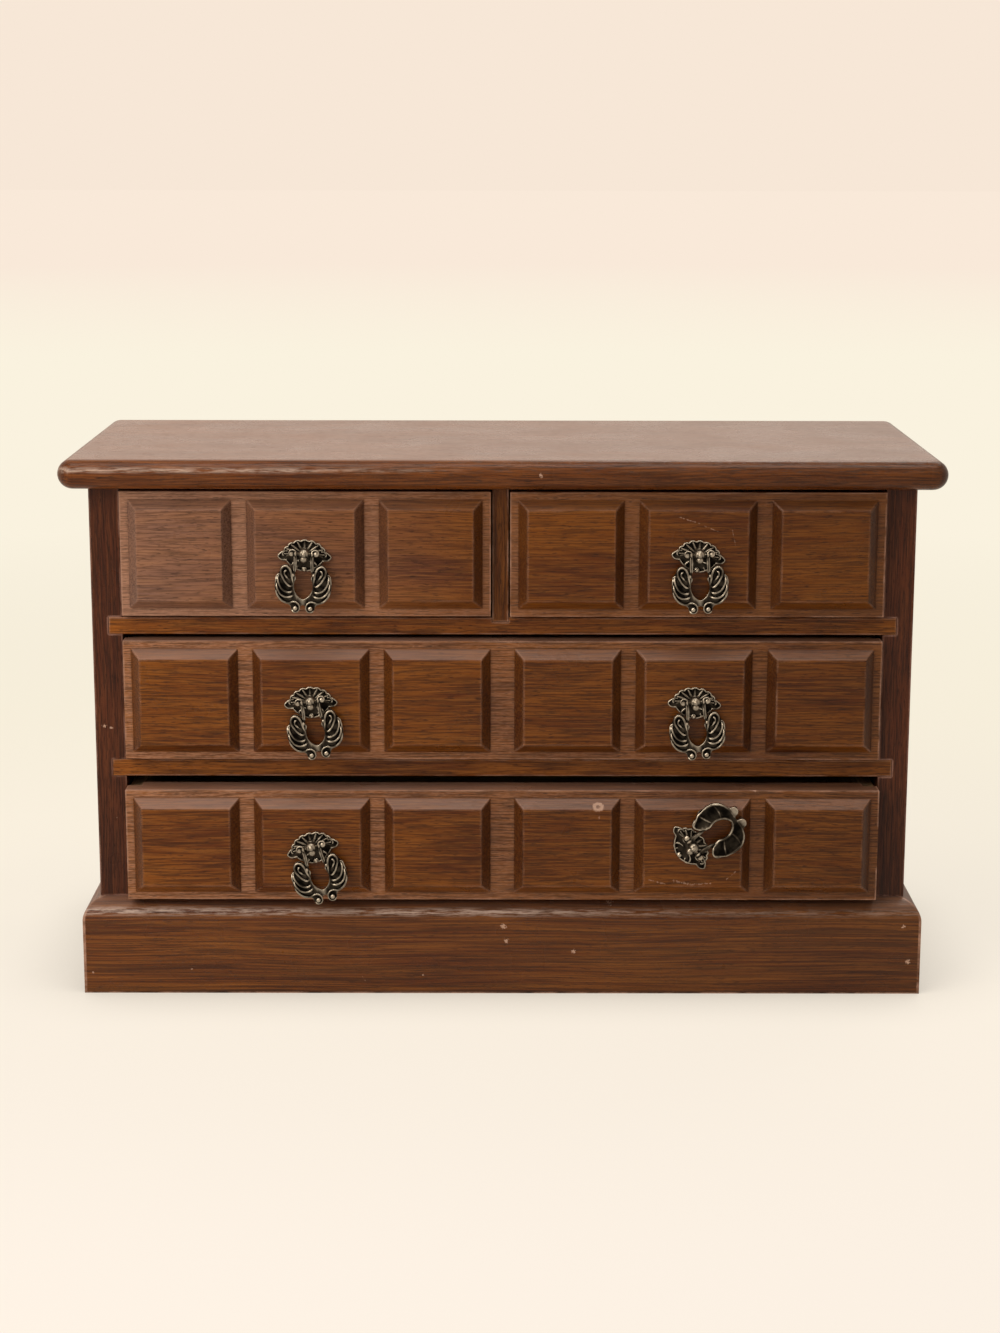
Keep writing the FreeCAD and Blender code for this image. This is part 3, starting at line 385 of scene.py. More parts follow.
    # marks with a wavy outline: how far off a point is, where the mark starts and is full, and its strength;
    # first small random nicks, then the placed ones
    wobble = addNode(tree, "TexNoise", {"Vector": inMm, "Scale": wood["wobble"], "Detail": 2.0})
    nick = addNode(tree, "TexVoronoi", {"Vector": moved, "Scale": 1 / wood["nickEvery"], "Randomness": 1.0})
    off = addNode(tree, "Math", [wobble, wood["nickStray"], nick], operation="MULTIPLY_ADD")
    marks = [(off, *wood["nickAt"], look["nicks"])]
    for place, radius in look["chips"]:
        stray, begin, full, strength = markKinds["chip"]
        off = addNode(tree, "VectorMath", [inMm, place], operation="DISTANCE")
        off = addNode(tree, "Math", [wobble, radius * stray, off], operation="MULTIPLY_ADD")
        marks.append((off, radius * begin, radius * full, strength))
    if look["chips"]:
        place, radius, half = ringMark
        stray, begin, full, strength = markKinds["ring"]
        off = addNode(tree, "VectorMath", [inMm, place], operation="DISTANCE")
        off = addNode(tree, "Math", [off, radius + stray / 2], operation="SUBTRACT")
        off = addNode(tree, "Math", [wobble, stray, off], operation="MULTIPLY_ADD")
        off = addNode(tree, "Math", [off], operation="ABSOLUTE")
        marks.append((off, half * begin, half * full, strength))
        stray, begin, full, strength = markKinds["scratch"]
        for start, end, half in scratches:
            run = Vector(end) - Vector(start)
            gone = addNode(tree, "VectorMath", [inMm, start], operation="SUBTRACT")
            along = addNode(tree, "VectorMath", [gone, run / run.length_squared], operation="DOT_PRODUCT")
            along = addNode(tree, "Clamp", [along])
            onRun = addNode(tree, "VectorMath", {0: run, "Scale": along}, operation="SCALE")
            off = addNode(tree, "VectorMath", [gone, onRun], operation="DISTANCE")
            off = addNode(tree, "Math", [wobble, half * stray, off], operation="MULTIPLY_ADD")
            marks.append((off, half * begin, half * full, strength))
    chip = 0.0
    for off, begin, full, strength in marks:
        spot = addNode(tree, "MapRange", [off, begin, full, 0.0, strength])
        chip = addNode(tree, "Math", [chip, spot], operation="MAXIMUM")
    colour = layOver(tree, colour, coats + [(chip, look["chip"])])

    # the varnish is uneven: rubbed smooth in places, drier in others
    handled = addNode(tree, "TexNoise", {"Vector": moved, "Scale": 1 / wood["patches"], "Detail": 3.0})
    dull = addNode(tree, "MapRange", [handled, *wood["roughAt"], *look["rough"]])
    for layer, amount in ((openPores, wood["poreRough"]), (chip, wood["chipRough"])):
        dull = addNode(tree, "Math", [layer, amount, dull], operation="MULTIPLY_ADD")

    # the surface: open pores and lines, chips, and orange peel of the sprayed varnish
    peel = addNode(tree, "TexNoise", {"Vector": inMm, "Scale": 1 / wood["peelSize"], "Detail": 2.0})
    relief = [(pores, -look["poreDepth"]), (noises["lines"], look["lineDepth"]), (chip, -wood["chipDepth"]),
              (peel, look["peel"])]
    if look["chips"]:
        place, radius, size, high = wrinkled
        off = addNode(tree, "VectorMath", [inMm, place], operation="DISTANCE")
        inside = addNode(tree, "MapRange", [off, radius, radius * 0.5, 0.0, high])
        crease = addNode(tree, "TexNoise", {
            "Vector": inMm, "Scale": 1 / size, "Detail": 3.0, "Distortion": 1.5})
        relief.append((crease, inside))
    height = 0.0
    for layer, amount in relief:
        height = addNode(tree, "Math", [layer, amount, height], operation="MULTIPLY_ADD")
    bump = addNode(tree, "Bump", {"Strength": 1.0, "Distance": mm, "Height": height})
    shader = addNode(tree, "BsdfPrincipled", {
        "Base Color": colour, "Roughness": dull, "IOR": 1.5, "Specular IOR Level": look["shine"],
        "Normal": bump})
    addNode(tree, "OutputMaterial", {"Surface": shader})
    return made


def easeEdges(piece, material, look):
    # the finish, and edges eased a little: width in mm, segments, and the angle above which an edge is one
    for holder in piece.material_slots:
        holder.material = material
    join = piece.modifiers.new("join", "WELD")
    join.merge_threshold = 0.002 * mm
    ease = piece.modifiers.new("ease", "BEVEL")
    ease.width = look["round"] * mm
    ease.segments = look["segments"]
    ease.limit_method = "ANGLE"
    ease.angle_limit = math.radians(look["sharperThan"])
    return ease


# mahogany-coloured stain under satin varnish, sprayed and rubbed: warm brown, fine dark pores, a soft sheen
stainedFront = {
    "deep": "#55290c", "warm": "#74400f", "light": "#86521f", "dark": "#221006", "worn": "#a8816c",
    "chip": "#c9a58f", "dustColour": "#a68a7e", "endTone": "#3c2014",
    # along and across the fibres in mm, detail, roughness of the noise
    "layers": {"tone": (70, 20, 2.0, 0.5), "figure": (26, 1.15, 3.0, 0.6), "lines": (20, 0.6, 2.0, 0.6),
               "pores": (4.0, 0.42, 1.0, 0.5)},  # pores are 0.2 mm wide, drawn 0.4 to show
    "bend": 4.0, "figure": 0.6, "lines": 0.55, "pores": 0.6, "endGrain": 0.5,
    "poreDepth": 0.05, "lineDepth": 0.12, "peel": 0.05,  # mm
    "cornerDirtAndShade": 0.8, "wear": 0.9, "cornerDirtAndShadeReach": 1.4, "wearReach": 0.9,  # amounts, then mm from the corner or edge
    "nicks": 0.6, "chips": chips, "foot": 0.0,
    "dust": 0.38, "dustRight": 0.45,  # pale coat of dust and painted sheen: at the left end, and the share of it at the right
    "dustOn": (0.3, 0.8),   # how upright a face's normal is where the dust and painted sheen start and where they are full
    # painted highlight on round edges: amount, its share at the right end, mm from the middle where it starts
    # to lessen
    "roundHighlight": (0.0, 1.0, 0.0), "rubbedAndHighlightTone": "#b8a092",
    "highlightAt": 0.48,        # how upright the normal is in the middle of the painted highlight band
    # painted sheen on the sunk strips: how deep they lie (0 the board's front, 1 its back), amount at the left
    # and right ends
    "sunk": (0.2526, 0.88, 0.264), "stripSheen": "#a57659",
    "paintedSheen": None,          # painted sheen: amount, mm from the middle where it starts to thin out and where it ends
    "paintedFalloff": (1.17, 0.70),   # painted light: the left end, nearer the key lamp, lighter than the right
    "rough": (0.27, 0.40), "shine": 0.16,
}
# the top has been dusted and polished more often: the same stain, smoother; its flat face has a pale coat of
# dust and painted reflection, its bullnose a painted highlight
stainedTop = dict(stainedFront, warm="#6c3a14", light="#7d4a22", rubbedAndHighlightTone="#c4ab9a", dust=0.41, dustRight=1.0,
                  dustOn=(0.93, 0.99), peel=0.004, lineDepth=0.03, roundHighlight=(0.66, 0.05, -100.0), highlightAt=0.36,
                  rough=(0.25, 0.31), shine=0.17, sunk=None)
# under the overhang the fronts are shaded: less of the pale coat of dust and painted sheen on upward faces,
# and a painted sheen at the left end
stainedUpper = dict(stainedFront, dust=0.12, lines=0.42, paintedSheen=(0.28, -150.0, -10.0))
# the rails lie in the shade of the drawers: painted lighter, more at the left end, nearer the key lamp
stainedRail = dict(stainedFront, dust=0.3, paintedFalloff=(1.5, 0.95), sunk=None)
# the plinth is handled and waxed most: glossier, and its round edge carries a painted highlight
stainedPlinth = dict(stainedFront, warm="#6c3b10", dust=0.27, dustRight=0.8, dustOn=(0.55, 0.97),
                     lineDepth=0.16, pores=0.45, foot=0.8, paintedFalloff=(1.16, 0.80), roundHighlight=(1.0, 0.3, 0.0),
                     rough=(0.25, 0.36), shine=0.22, sunk=None,
                     layers={"tone": (160, 30, 2.0, 0.5), "figure": (90, 1.3, 3.0, 0.6),
                             "lines": (70, 0.6, 3.0, 0.6), "pores": (4.5, 0.42, 1.0, 0.5)})
# the same finish on the case sides: a darker, redder board
stainedSide = dict(stainedFront, deep="#391a0e", warm="#502714", light="#60351d", dark="#180b06",
                   worn="#8f6a5c", paintedFalloff=(1.1, 1.04), sunk=None)
# bare poplar inside, sanded: pale, dry, with flecks
plainWood = dict(stainedFront, deep="#b08a5e", warm="#c8a577", light="#d8bb91", dark="#7d5a38",
                 worn="#e0c9a6", chip="#e6d4b5", dustColour="#d9c6a8", endTone="#a07c52", cornerDirtAndShade=0.35,
                 wear=0.3, nicks=0.2, chips=[], figure=0.4, lines=0.3, pores=0.35, paintedFalloff=(1.0, 1.0),
                 dust=0.2, rough=(0.62, 0.78), shine=0.3, sunk=None)
# hardboard for the back and the drawer bottoms: flat mid brown with short matted fibres
panelBoard = dict(plainWood, deep="#7a5536", warm="#8d6642", light="#9c7650", dark="#4e3420", worn="#a98662",
                  chip="#b79672", dustColour="#a58d70", figure=0.25, lines=0.25, pores=0.5,
                  layers={"tone": (60, 40, 2.0, 0.5), "figure": (9, 5, 3.0, 0.6), "lines": (4, 2.2, 3.0, 0.6),
                          "pores": (1.6, 0.7, 1.0, 0.5)})

drawerNodes = [name for name in nodes if name.startswith("drawer_")]
# finish, fibre axis and the nodes that have it
boards = [
    ("polishedMahogany", stainedTop, "X", ["top_board"]),
    ("stainedMahogany", stainedFront, "X", ["drawer_middle_front", "drawer_bottom_front"]),
    ("rubbedMahogany", stainedRail, "X", ["rail_upper", "rail_lower"]),
    ("cleanMahogany", stainedUpper, "X", ["drawer_top_left_front", "drawer_top_right_front"]),
    ("waxedMahogany", stainedPlinth, "X", ["plinth_front", "plinth_back"]),
    ("waxedMahogany", stainedPlinth, "Y", ["plinth_left", "plinth_right"]),
    ("stainedMahogany", stainedFront, "Z", ["center_divider"]),
    ("stainedSideBoard", stainedSide, "Z", ["side_panel_left", "side_panel_right"]),
    ("plainPoplar", plainWood, "X", [name for name in drawerNodes if name.endswith("_back")]),
    ("plainPoplar", plainWood, "Y", [name for name in drawerNodes if "_side_" in name]),
    ("plainPoplar", plainWood, "Z", ["corner_blocks", "top_dowels"]),
    ("hardboard", panelBoard, "X", ["back_panel", "bottom_board", "dust_panel_upper", "dust_panel_lower"]
     + [name for name in drawerNodes if name.endswith("_bottom")]),
]
boardEdges = {"round": 0.45, "segments": 3, "sharperThan": 25}  # mm, count, degrees

for finish, look, grain, names in boards:
    material = woodMaterial(finish + grain, look, grain)
    for name in names:
        easeEdges(nodes[name], material, boardEdges).harden_normals = True
print("wood finished")

# pulls: cast pewter, antiqued; each is a shell backplate, a post with a nose and a drop on two pegs

castMetal = {
    "patina": "#0d0b09", "pewter": "#39332b", "rubbedAndHighlightTone": "#a39989",
    "roughHollow": 0.55, "roughRubbed": 0.24,
    "tarnish": 7.0,  # mm across the cloudy patches
    "pits": 0.5,     # mm, from the sand of the mould, drawn larger than life so that they show
    "pitDepth": 0.04,
    "tonesAt": (0.36, 0.53, 0.72), "roughAt": (0.35, 0.7),
}
dropLook = {
    "grid": 0.17,    # mm, of the shape's voxels
    "keep": 0.24,    # share of the faces left after thinning
    "back": 1.75,    # mm behind the pivot's plane, where the casting is flat
    "outer": [(3.5, -8.9), (4.3, -8.0), (5.0, -6.4), (6.2, -5.4), (7.6, -4.8), (9.2, -5.4), (10.1, -7.0),
              (10.2, -8.7), (11.1, -9.0), (11.6, -10.2), (11.4, -11.6), (12.0, -12.6), (12.1, -14.8),
              (11.7, -17.4), (10.3, -19.7), (8.1, -21.5), (5.6, -22.4), (4.8, -24.5), (3.1, -25.3),
              (1.5, -24.4), (1.0, -22.6), (0.0, -22.3)],
    "inner": [(0.0, -19.8), (1.0, -19.4), (2.4, -18.3), (3.5, -16.6), (4.0, -14.6), (3.8, -12.4),
              (3.2, -10.8), (3.5, -9.6)],
    # front ribs: points (across, up), thickness at start and end, how far in front of the pivot's plane
    "ribs": [
        ([(4.4, -13.0), (4.7, -10.6), (5.3, -7.8), (6.5, -5.9), (8.2, -5.5), (9.3, -6.6), (9.4, -8.6),
          (8.5, -10.9), (7.1, -12.9), (5.7, -14.0), (4.6, -14.0)], 0.56, 0.46, 0.62),
        ([(6.6, -7.7), (7.5, -7.3), (8.0, -8.4), (7.2, -10.0), (6.0, -11.4)], 0.36, 0.50, 0.55),
        ([(10.6, -9.4), (10.9, -11.0), (10.3, -13.2), (9.0, -15.3), (7.3, -16.4), (5.5, -16.6), (4.5, -16.1)],
         0.42, 0.52, 0.62),
        ([(11.2, -12.2), (11.3, -14.2), (10.5, -16.4), (9.0, -18.1), (7.1, -18.8), (5.3, -18.6),
          (4.1, -18.0)], 0.42, 0.52, 0.62),
        ([(11.6, -14.2), (11.3, -16.9), (10.0, -19.4), (8.1, -20.9), (6.0, -21.3), (4.0, -20.8), (2.3, -21.3),
          (1.5, -22.7), (1.7, -24.2), (2.9, -25.1), (4.2, -24.8), (4.9, -23.8)], 0.46, 0.44, 0.60),
        ([(11.4, -9.4), (11.7, -11.0), (11.9, -13.4)], 0.34, 0.38, 0.25),
    ],
    # where the leaves swell forward under the ribs
    "swell": [((7.4, -9.0), 2.6), ((8.0, -12.6), 3.2), ((7.7, -15.8), 3.3), ((6.4, -18.8), 2.4)],
    "backLines": [
        [(4.1, -9.2), (3.8, -11.0), (4.4, -12.8), (4.5, -14.7), (4.0, -16.8), (2.8, -18.7), (1.2, -19.8),
         (0, -20.2)],
        [(5.2, -6.8), (7.6, -5.4), (9.6, -7.4), (11.0, -10.0), (11.5, -14.8), (9.9, -19.3), (6.0, -21.8),
         (1.0, -22.2)],
        [(4.4, -12.8), (7.8, -11.0), (10.8, -9.6)],
        [(4.2, -17.2), (7.4, -17.8), (11.0, -17.6)],
    ],
    # an arm from its eye down to the casting, its two ribs, its peg and the hook outside it: points (across,
    # back, up), thickness at start and end
    "arm": [
        ([(3.6, 0.0, 0.5), (3.55, -0.1, -2.0), (3.75, 0.0, -5.6), (4.1, 0.2, -9.4)], 1.0, 0.85),
        ([(3.1, -0.9, -0.6), (3.1, -0.95, -3.6), (3.4, -0.75, -7.8)], 0.26, 0.3),
        ([(4.1, -0.9, -0.9), (4.0, -0.9, -3.6), (4.2, -0.7, -7.4)], 0.24, 0.26),
        ([(2.0, 0, 0), (3.0, 0, 0), (5.0, 0, 0)], 0.72, 0.72),
        ([(3.3, -0.9, -1.1), (3.5, -0.8, 1.0), (4.9, -0.7, 1.75), (6.2, -0.7, 0.9), (6.2, -0.6, -0.7)],
         0.3, 0.34),
    ],
    # eye, knob, bead and the ball in the scroll at the foot: place, radius, stretch across
    "balls": [((3.6, 0, 0), 1.35, 0.66), ((5.2, 0, 0), 1.4, 1), ((4.4, -0.5, -9.2), 0.8, 1),
              ((3.2, -0.45, -23.6), 1.15, 1)],
}
plateLook = {
    "grid": 0.17, "keep": 0.34,
    "front": 4.25, "back": 5.0,  # mm behind the pivot, of the plate itself
    "middle": -1.3, "halfWidth": 9.6, "halfHeight": 6.9, "scallops": 9, "notch": 0.55,
    "fan": (-6, 186),            # degrees, from where to where the scallops run
    "foot": [(8.4, -3.6), (6.6, -5.6), (4.6, -7.0), (2.2, -8.0)],
    "footEnd": (0.0, -8.3),
    "leaf": [(7.4, 0.4), (9.2, 0.3), (11.3, -1.2), (11.5, -2.2), (10.2, -3.3), (7.6, -3.6)],
    "curl": [(2.2, -3.6), (4.4, -4.4), (5.2, -6.0), (3.8, -7.0), (2.8, -6.0)],
}
postLook = {
    "grid": 0.15, "keep": 0.4,
    "neck": ([(0, 5.0, 0), (0, 3.4, 0), (0, 1.6, 0), (0, 0, 0)], 2.3, 2.2), "knob": 2.35,
    "nose": ([(0, -1.3, 1.5), (0, -1.75, 0.2), (0, -1.5, -1.4), (0, -1.25, -2.2)], 0.7, 1.3),
    "tip": ((0, -1.25, -2.1), 1.6),
    "brow": ([(1.9, 1.4, 0.9), (0, 1.4, 2.25), (-1.9, 1.4, 0.9)], 0.35, 0.35),
    # mm behind the pivot where the shank starts and ends and the thread starts; the end is chamfered
    "shankFrom": 4.6, "shankTo": 27.2, "threadFrom": 16.0, "shank": 1.5, "chamfer": 0.3,
    "threadPitch": 0.8, "threadDepth": 0.18, "ringEvery": 0.2, "sides": 16,
}


def castMaterial():
    # antiqued pewter casting: dark patina left in the hollows, dull grey faces, crests rubbed bright
    look = castMetal
    made, tree = emptyMaterial("antiquePewter")
    relief = addNode(tree, "Attribute", attribute_name="relief").outputs["Fac"]
    inMm = placeInMm(tree)
    cloud = addNode(tree, "TexNoise", {
        "Vector": inMm, "Scale": 1 / look["tarnish"], "Detail": 4.0, "Roughness": 0.6})
    pit = addNode(tree, "TexNoise", {"Vector": inMm, "Scale": 1 / look["pits"], "Detail": 2.0})
    uneven = addNode(tree, "Math", [cloud, 0.5, relief], operation="MULTIPLY_ADD")
    uneven = addNode(tree, "Math", [uneven, 0.25], operation="SUBTRACT")
    tones = [linear(look[tone]) for tone in ("patina", "pewter", "rubbedAndHighlightTone")]
    colour = addNode(tree, "ValToRGB", [uneven], stops=list(zip(look["tonesAt"], tones)))
    rough = addNode(tree, "MapRange", [uneven, *look["roughAt"], look["roughHollow"], look["roughRubbed"]])
    bump = addNode(tree, "Bump", {"Strength": 1.0, "Distance": look["pitDepth"] * mm, "Height": pit})
    shader = addNode(tree, "BsdfPrincipled", {
        "Base Color": colour, "Metallic": 1.0, "Roughness": rough, "Normal": bump})
    addNode(tree, "OutputMaterial", {"Surface": shader})
    return made


def rounded(points, parts=4):
    # a smooth line through the given points
    last = len(points) - 1
    made = []
    for i in range(last):
        near = [points[min(max(k, 0), last)] for k in range(i - 1, i + 3)]
        for part in range(parts):
            t = part / parts
            weights = (-0.5 * t + t ** 2 - 0.5 * t ** 3, 1 - 2.5 * t ** 2 + 1.5 * t ** 3,
                       0.5 * t + 2 * t ** 2 - 1.5 * t ** 3, -0.5 * t ** 2 + 0.5 * t ** 3)
            made.append(tuple(sum(w * p[axis] for w, p in zip(weights, near)) for axis in range(2)))
    return made + [points[-1]]


def addTube(curve, points, thickStart, thickEnd):
    spline = curve.splines.new("BEZIER")
    spline.bezier_points.add(len(points) - 1)
    for i, (knot, point) in enumerate(zip(spline.bezier_points, points)):
        knot.co = point
        knot.handle_left_type = knot.handle_right_type = "AUTO"
        share = i / (len(points) - 1)
        ends = 0.55 if i in (0, len(points) - 1) else 1.0
        knot.radius = (thickStart + (thickEnd - thickStart) * share) * ends


def addBall(build, place, radius, stretch=(1, 1, 1)):
    made = bmesh.ops.create_icosphere(build, subdivisions=3, radius=radius)["verts"]
    for vertex in made:
        vertex.co = Vector(place) + Vector(v * s for v, s in zip(vertex.co, stretch))


def addSlab(build, outline, front, back):
    # a flat plate from its outline (across, up)
    face = build.faces.new([build.verts.new((x, back, z)) for x, z in outline])
    pushed = bmesh.ops.extrude_face_region(build, geom=[face])["geom"]
    for vertex in pushed:
        if isinstance(vertex, bmesh.types.BMVert):
            vertex.co.y = front


def castShape(name, curve, build, look, flatAt):
    # tubes, balls and slabs are fused on a fine grid, softened as a casting is, then thinned
    curve.dimensions = "3D"
    curve.bevel_depth = 1.0
    curve.bevel_resolution = 3
    curve.resolution_u = 6
    curve.use_fill_caps = True
    tubes = addObject("tubes", curve)
    shape = bpy.data.meshes.new_from_object(tubes)
    build.from_mesh(shape)
    bmesh.ops.recalc_face_normals(build, faces=build.faces)
    raw = bpy.data.meshes.new("raw")
    build.to_mesh(raw)
    build.free()
    rawPiece = addObject("raw", raw)
    fuse = rawPiece.modifiers.new("fuse", "REMESH")
    fuse.mode = "VOXEL"
    fuse.voxel_size = look["grid"]
    soften = rawPiece.modifiers.new("soften", "SMOOTH")
    soften.factor = 0.5
    soften.iterations = 3
    thin = rawPiece.modifiers.new("thin", "DECIMATE")
    thin.ratio = look["keep"]
    ready = bpy.data.meshes.new_from_object(rawPiece.evaluated_get(bpy.context.evaluated_depsgraph_get()))
    ready.name = name
    bpy.data.objects.remove(tubes)
    bpy.data.objects.remove(rawPiece)
    bpy.data.curves.remove(curve)
    bpy.data.meshes.remove(raw)
    bpy.data.meshes.remove(shape)
    finished = bmesh.new()
    finished.from_mesh(ready)
    for vertex in finished.verts:
        vertex.co.y = min(vertex.co.y, flatAt)
    writeRelief(finished, ready)
    return ready


def writeRelief(build, mesh):
    # how far each point stands above its neighbours, 0.5 where it is flat: drives patina and rubbing
    build.normal_update()
    build.verts.ensure_lookup_table()
    around = [[edge.other_vert(vertex).index for edge in vertex.link_edges] for vertex in build.verts]
    stands = []
    for vertex, near in zip(build.verts, around):
        middle = sum((build.verts[i].co for i in near), Vector()) / len(near)
        reach = sum((build.verts[i].co - vertex.co).length for i in near) / len(near)
        stands.append((vertex.co - middle).dot(vertex.normal) / max(reach, 0.01))
    for turn in range(4):
        means = [sum(stands[i] for i in near) / len(near) for near in around]
        stands = [0.4 * own + 0.6 * mean for own, mean in zip(stands, means)]
    # nobody rubs the back, so it stays darker
    stands = [own - 0.018 * max(0.0, vertex.normal.y) for own, vertex in zip(stands, build.verts)]
    for vertex in build.verts:
        vertex.co *= mm
    build.to_mesh(mesh)
    build.free()
    relief = mesh.attributes.new("relief", "FLOAT", "POINT")
    relief.data.foreach_set("value", [min(1.0, max(0.0, 0.5 + 2.4 * own)) for own in stands])
    mesh.shade_smooth()


def mirrored(points):
    return [[(side * x, z) for x, z in points] for side in (1, -1)]


def dropShape():
    look = dropLook
    curve = bpy.data.curves.new("dropTubes", "CURVE")
    build = bmesh.new()
    for half in mirrored(rounded(look["outer"]) + rounded(look["inner"])):
        addSlab(build, half, 0.1, look["back"] - 0.25)
    for points, thickStart, thickEnd, out in look["ribs"]:
        for half in mirrored(points):
            last = len(half) - 1
            # the ends dive into the casting
            ribbed = [(x, 0.3 if i in (0, last) else -out, z) for i, (x, z) in enumerate(half)]
            addTube(curve, ribbed, thickStart, thickEnd)
    for (x, z), radius in look["swell"]:
        for side in (1, -1):
            addBall(build, (side * x, 0.5, z), radius, (1, 0.30, 1))
    for points in look["backLines"]:
        for half in mirrored(points):
            addTube(curve, [(x, look["back"] - 0.2, z) for x, z in half], 0.3, 0.3)
    for side in (1, -1):
        for points, thickStart, thickEnd in look["arm"]:
            addTube(curve, [(side * x, y, z) for x, y, z in points], thickStart, thickEnd)
        for (x, y, z), radius, stretch in look["balls"]:
            addBall(build, (side * x, y, z), radius, (stretch, 1, 1))
    return castShape("pullDrop", curve, build, look, look["back"] + 0.1)


def plateShape():
    look = plateLook
    curve = bpy.data.curves.new("plateTubes", "CURVE")
    build = bmesh.new()
    middle, wide, high = look["middle"], look["halfWidth"], look["halfHeight"]
    start, end = look["fan"]
    outline = []
    steps = look["scallops"] * 8
    for step in range(steps + 1):
        turn = math.radians(start + (end - start) * step / steps)
        dip = look["notch"] * (1 - abs(math.sin(math.pi * look["scallops"] * step / steps)))
        outline.append(((wide - dip) * math.cos(turn), middle + (high - dip) * math.sin(turn)))
    foot = [(-x, z) for x, z in look["foot"]] + [look["footEnd"]] + look["foot"][::-1]
    addSlab(build, outline + foot, look["front"], look["back"])
    # a bead along the rim, a rib down every scallop, a leaf and a curl on each side
    addTube(curve, [(x * 0.97, 3.98, middle + (z - middle) * 0.965) for x, z in outline[::2]], 0.36, 0.36)
    addTube(curve, [(x * 0.93, 4.0, z * 0.96) for x, z in foot], 0.34, 0.34)
    for rib in range(look["scallops"]):
        turn = math.radians(start + (end - start) * (rib + 0.5) / look["scallops"])
        across, up = math.cos(turn), math.sin(turn)
        points = [(across * wide * out, y, middle + up * high * out) for out, y in ((0.55, 4.2), (0.9, 4.05))]
        addTube(curve, [(across * 2.2, 3.9, middle + up * 1.8)] + points, 0.5, 0.62)
    for half in mirrored(rounded(look["leaf"])):
        addSlab(build, half, 4.2, look["back"])
        addTube(curve, [(x * 0.97, 4.05, z) for x, z in half], 0.34, 0.34)
        addTube(curve, [(half[0][0] * 0.8, 4.1, -1.4), (half[2][0] * 0.96, 4.2, -1.8)], 0.5, 0.24)
    for half in mirrored(look["curl"]):
        addTube(curve, [(x, 4.05, z) for x, z in half], 0.45, 0.3)
    addBall(build, (0, 4.9, -0.4), 3.4, (1, 0.42, 1))
    addBall(build, (0, 4.1, -7.2), 1.25)
    return castShape("pullPlate", curve, build, look, look["back"])


def postShape():
    look = postLook
    curve = bpy.data.curves.new("postTubes", "CURVE")
    build = bmesh.new()
    for tube in ("neck", "nose", "brow"):
        addTube(curve, *look[tube])
    addBall(build, (0, 0, 0), look["knob"])
    addBall(build, *look["tip"])
    head = castShape("pullPost", curve, build, look, 5.0)
    # the shank is turned, with a rolled thread where the nut sits
    turned = bmesh.new()
    turned.from_mesh(head)
    value = turned.verts.layers.float["relief"]
    rings = []
    start, end, sides = look["shankFrom"], look["shankTo"], look["sides"]
    steps = int((end - start) / look["ringEvery"])
    for step in range(steps + 1):
        away = start + (end - start) * step / steps
        cut = look["threadDepth"] * (0.5 - 0.5 * math.cos(2 * math.pi * away / look["threadPitch"]))
        if away <= look["threadFrom"]:
            cut = 0
        radius = look["shank"] - cut - (look["chamfer"] if step == steps else 0)
        ring = []
        for corner in range(sides):
            turn = 2 * math.pi * corner / sides
            vertex = turned.verts.new((radius * math.cos(turn) * mm, away * mm, radius * math.sin(turn) * mm))
            vertex[value] = 0.6 - cut
            ring.append(vertex)
        rings.append(ring)
    for one, two in zip(rings, rings[1:]):
        for corner in range(sides):
            turned.faces.new((one[corner], one[corner - 1], two[corner - 1], two[corner]))
    turned.faces.new(reversed(rings[0]))
    turned.faces.new(rings[-1])
    bmesh.ops.recalc_face_normals(turned, faces=turned.faces)
    turned.to_mesh(head)
    turned.free()
    head.shade_smooth()
    return head


pewter = castMaterial()
pullParts = {"drop": dropShape(), "plate": plateShape(), "post": postShape()}
for part in pullParts.values():
    part.materials.append(pewter)
print("pull castings made,", {part: len(mesh.polygons) for part, mesh in pullParts.items()}, "faces")

# each pull's drawer, the node of its post, how far its backplate has slipped round (degrees, anticlockwise
# from the front) and how far its drop is swung up at rest; the turn of post and drop is in the drop's joint
pulls = {
    "top_left": ("drawer_top_left", "pull_posts_top_left", -2.0, 0.0),
    "top_right": ("drawer_top_right", "pull_posts_top_right", -6.5, 0.0),
    "middle_left": ("drawer_middle", "pull_posts_middle", 3.0, 0.0),
    "middle_right": ("drawer_middle", "pull_posts_middle", -3.0, 0.0),
    "bottom_left": ("drawer_bottom", "pull_posts_bottom", 15.0, 0.0),
    "bottom_right": ("drawer_bottom", "pull_posts_bottom", -55.0, 186.5),
}

for where, (drawer, postNode, slipped, swung) in pulls.items():
    hinge = joints[f"pull_{where}_hinge"]
    axis = Vector(hinge["axis"])
    pivot = Matrix.Translation(Vector(hinge["pos_m"]))
    turn = Matrix.Rotation(math.atan2(-axis.z, -axis.x), 4, Vector((0, -1, 0)))
    swing = Matrix.Rotation(math.radians(swung), 4, Vector((-1, 0, 0)))
    slip = Matrix.Rotation(math.radians(slipped), 4, Vector((0, -1, 0)))
    for part, node, body, place in [
            ("drop", f"pull_drop_{where}", f"drop_{where}", pivot @ turn @ swing),
            ("plate", f"pull_plate_{where}", drawer, pivot @ slip),
            ("post", postNode, drawer, pivot @ turn)]:
        piece = addObject(f"{part}_{where}", pullParts[part])
        piece.matrix_world = place
        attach(piece, body)
        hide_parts(node)
print("pulls placed")

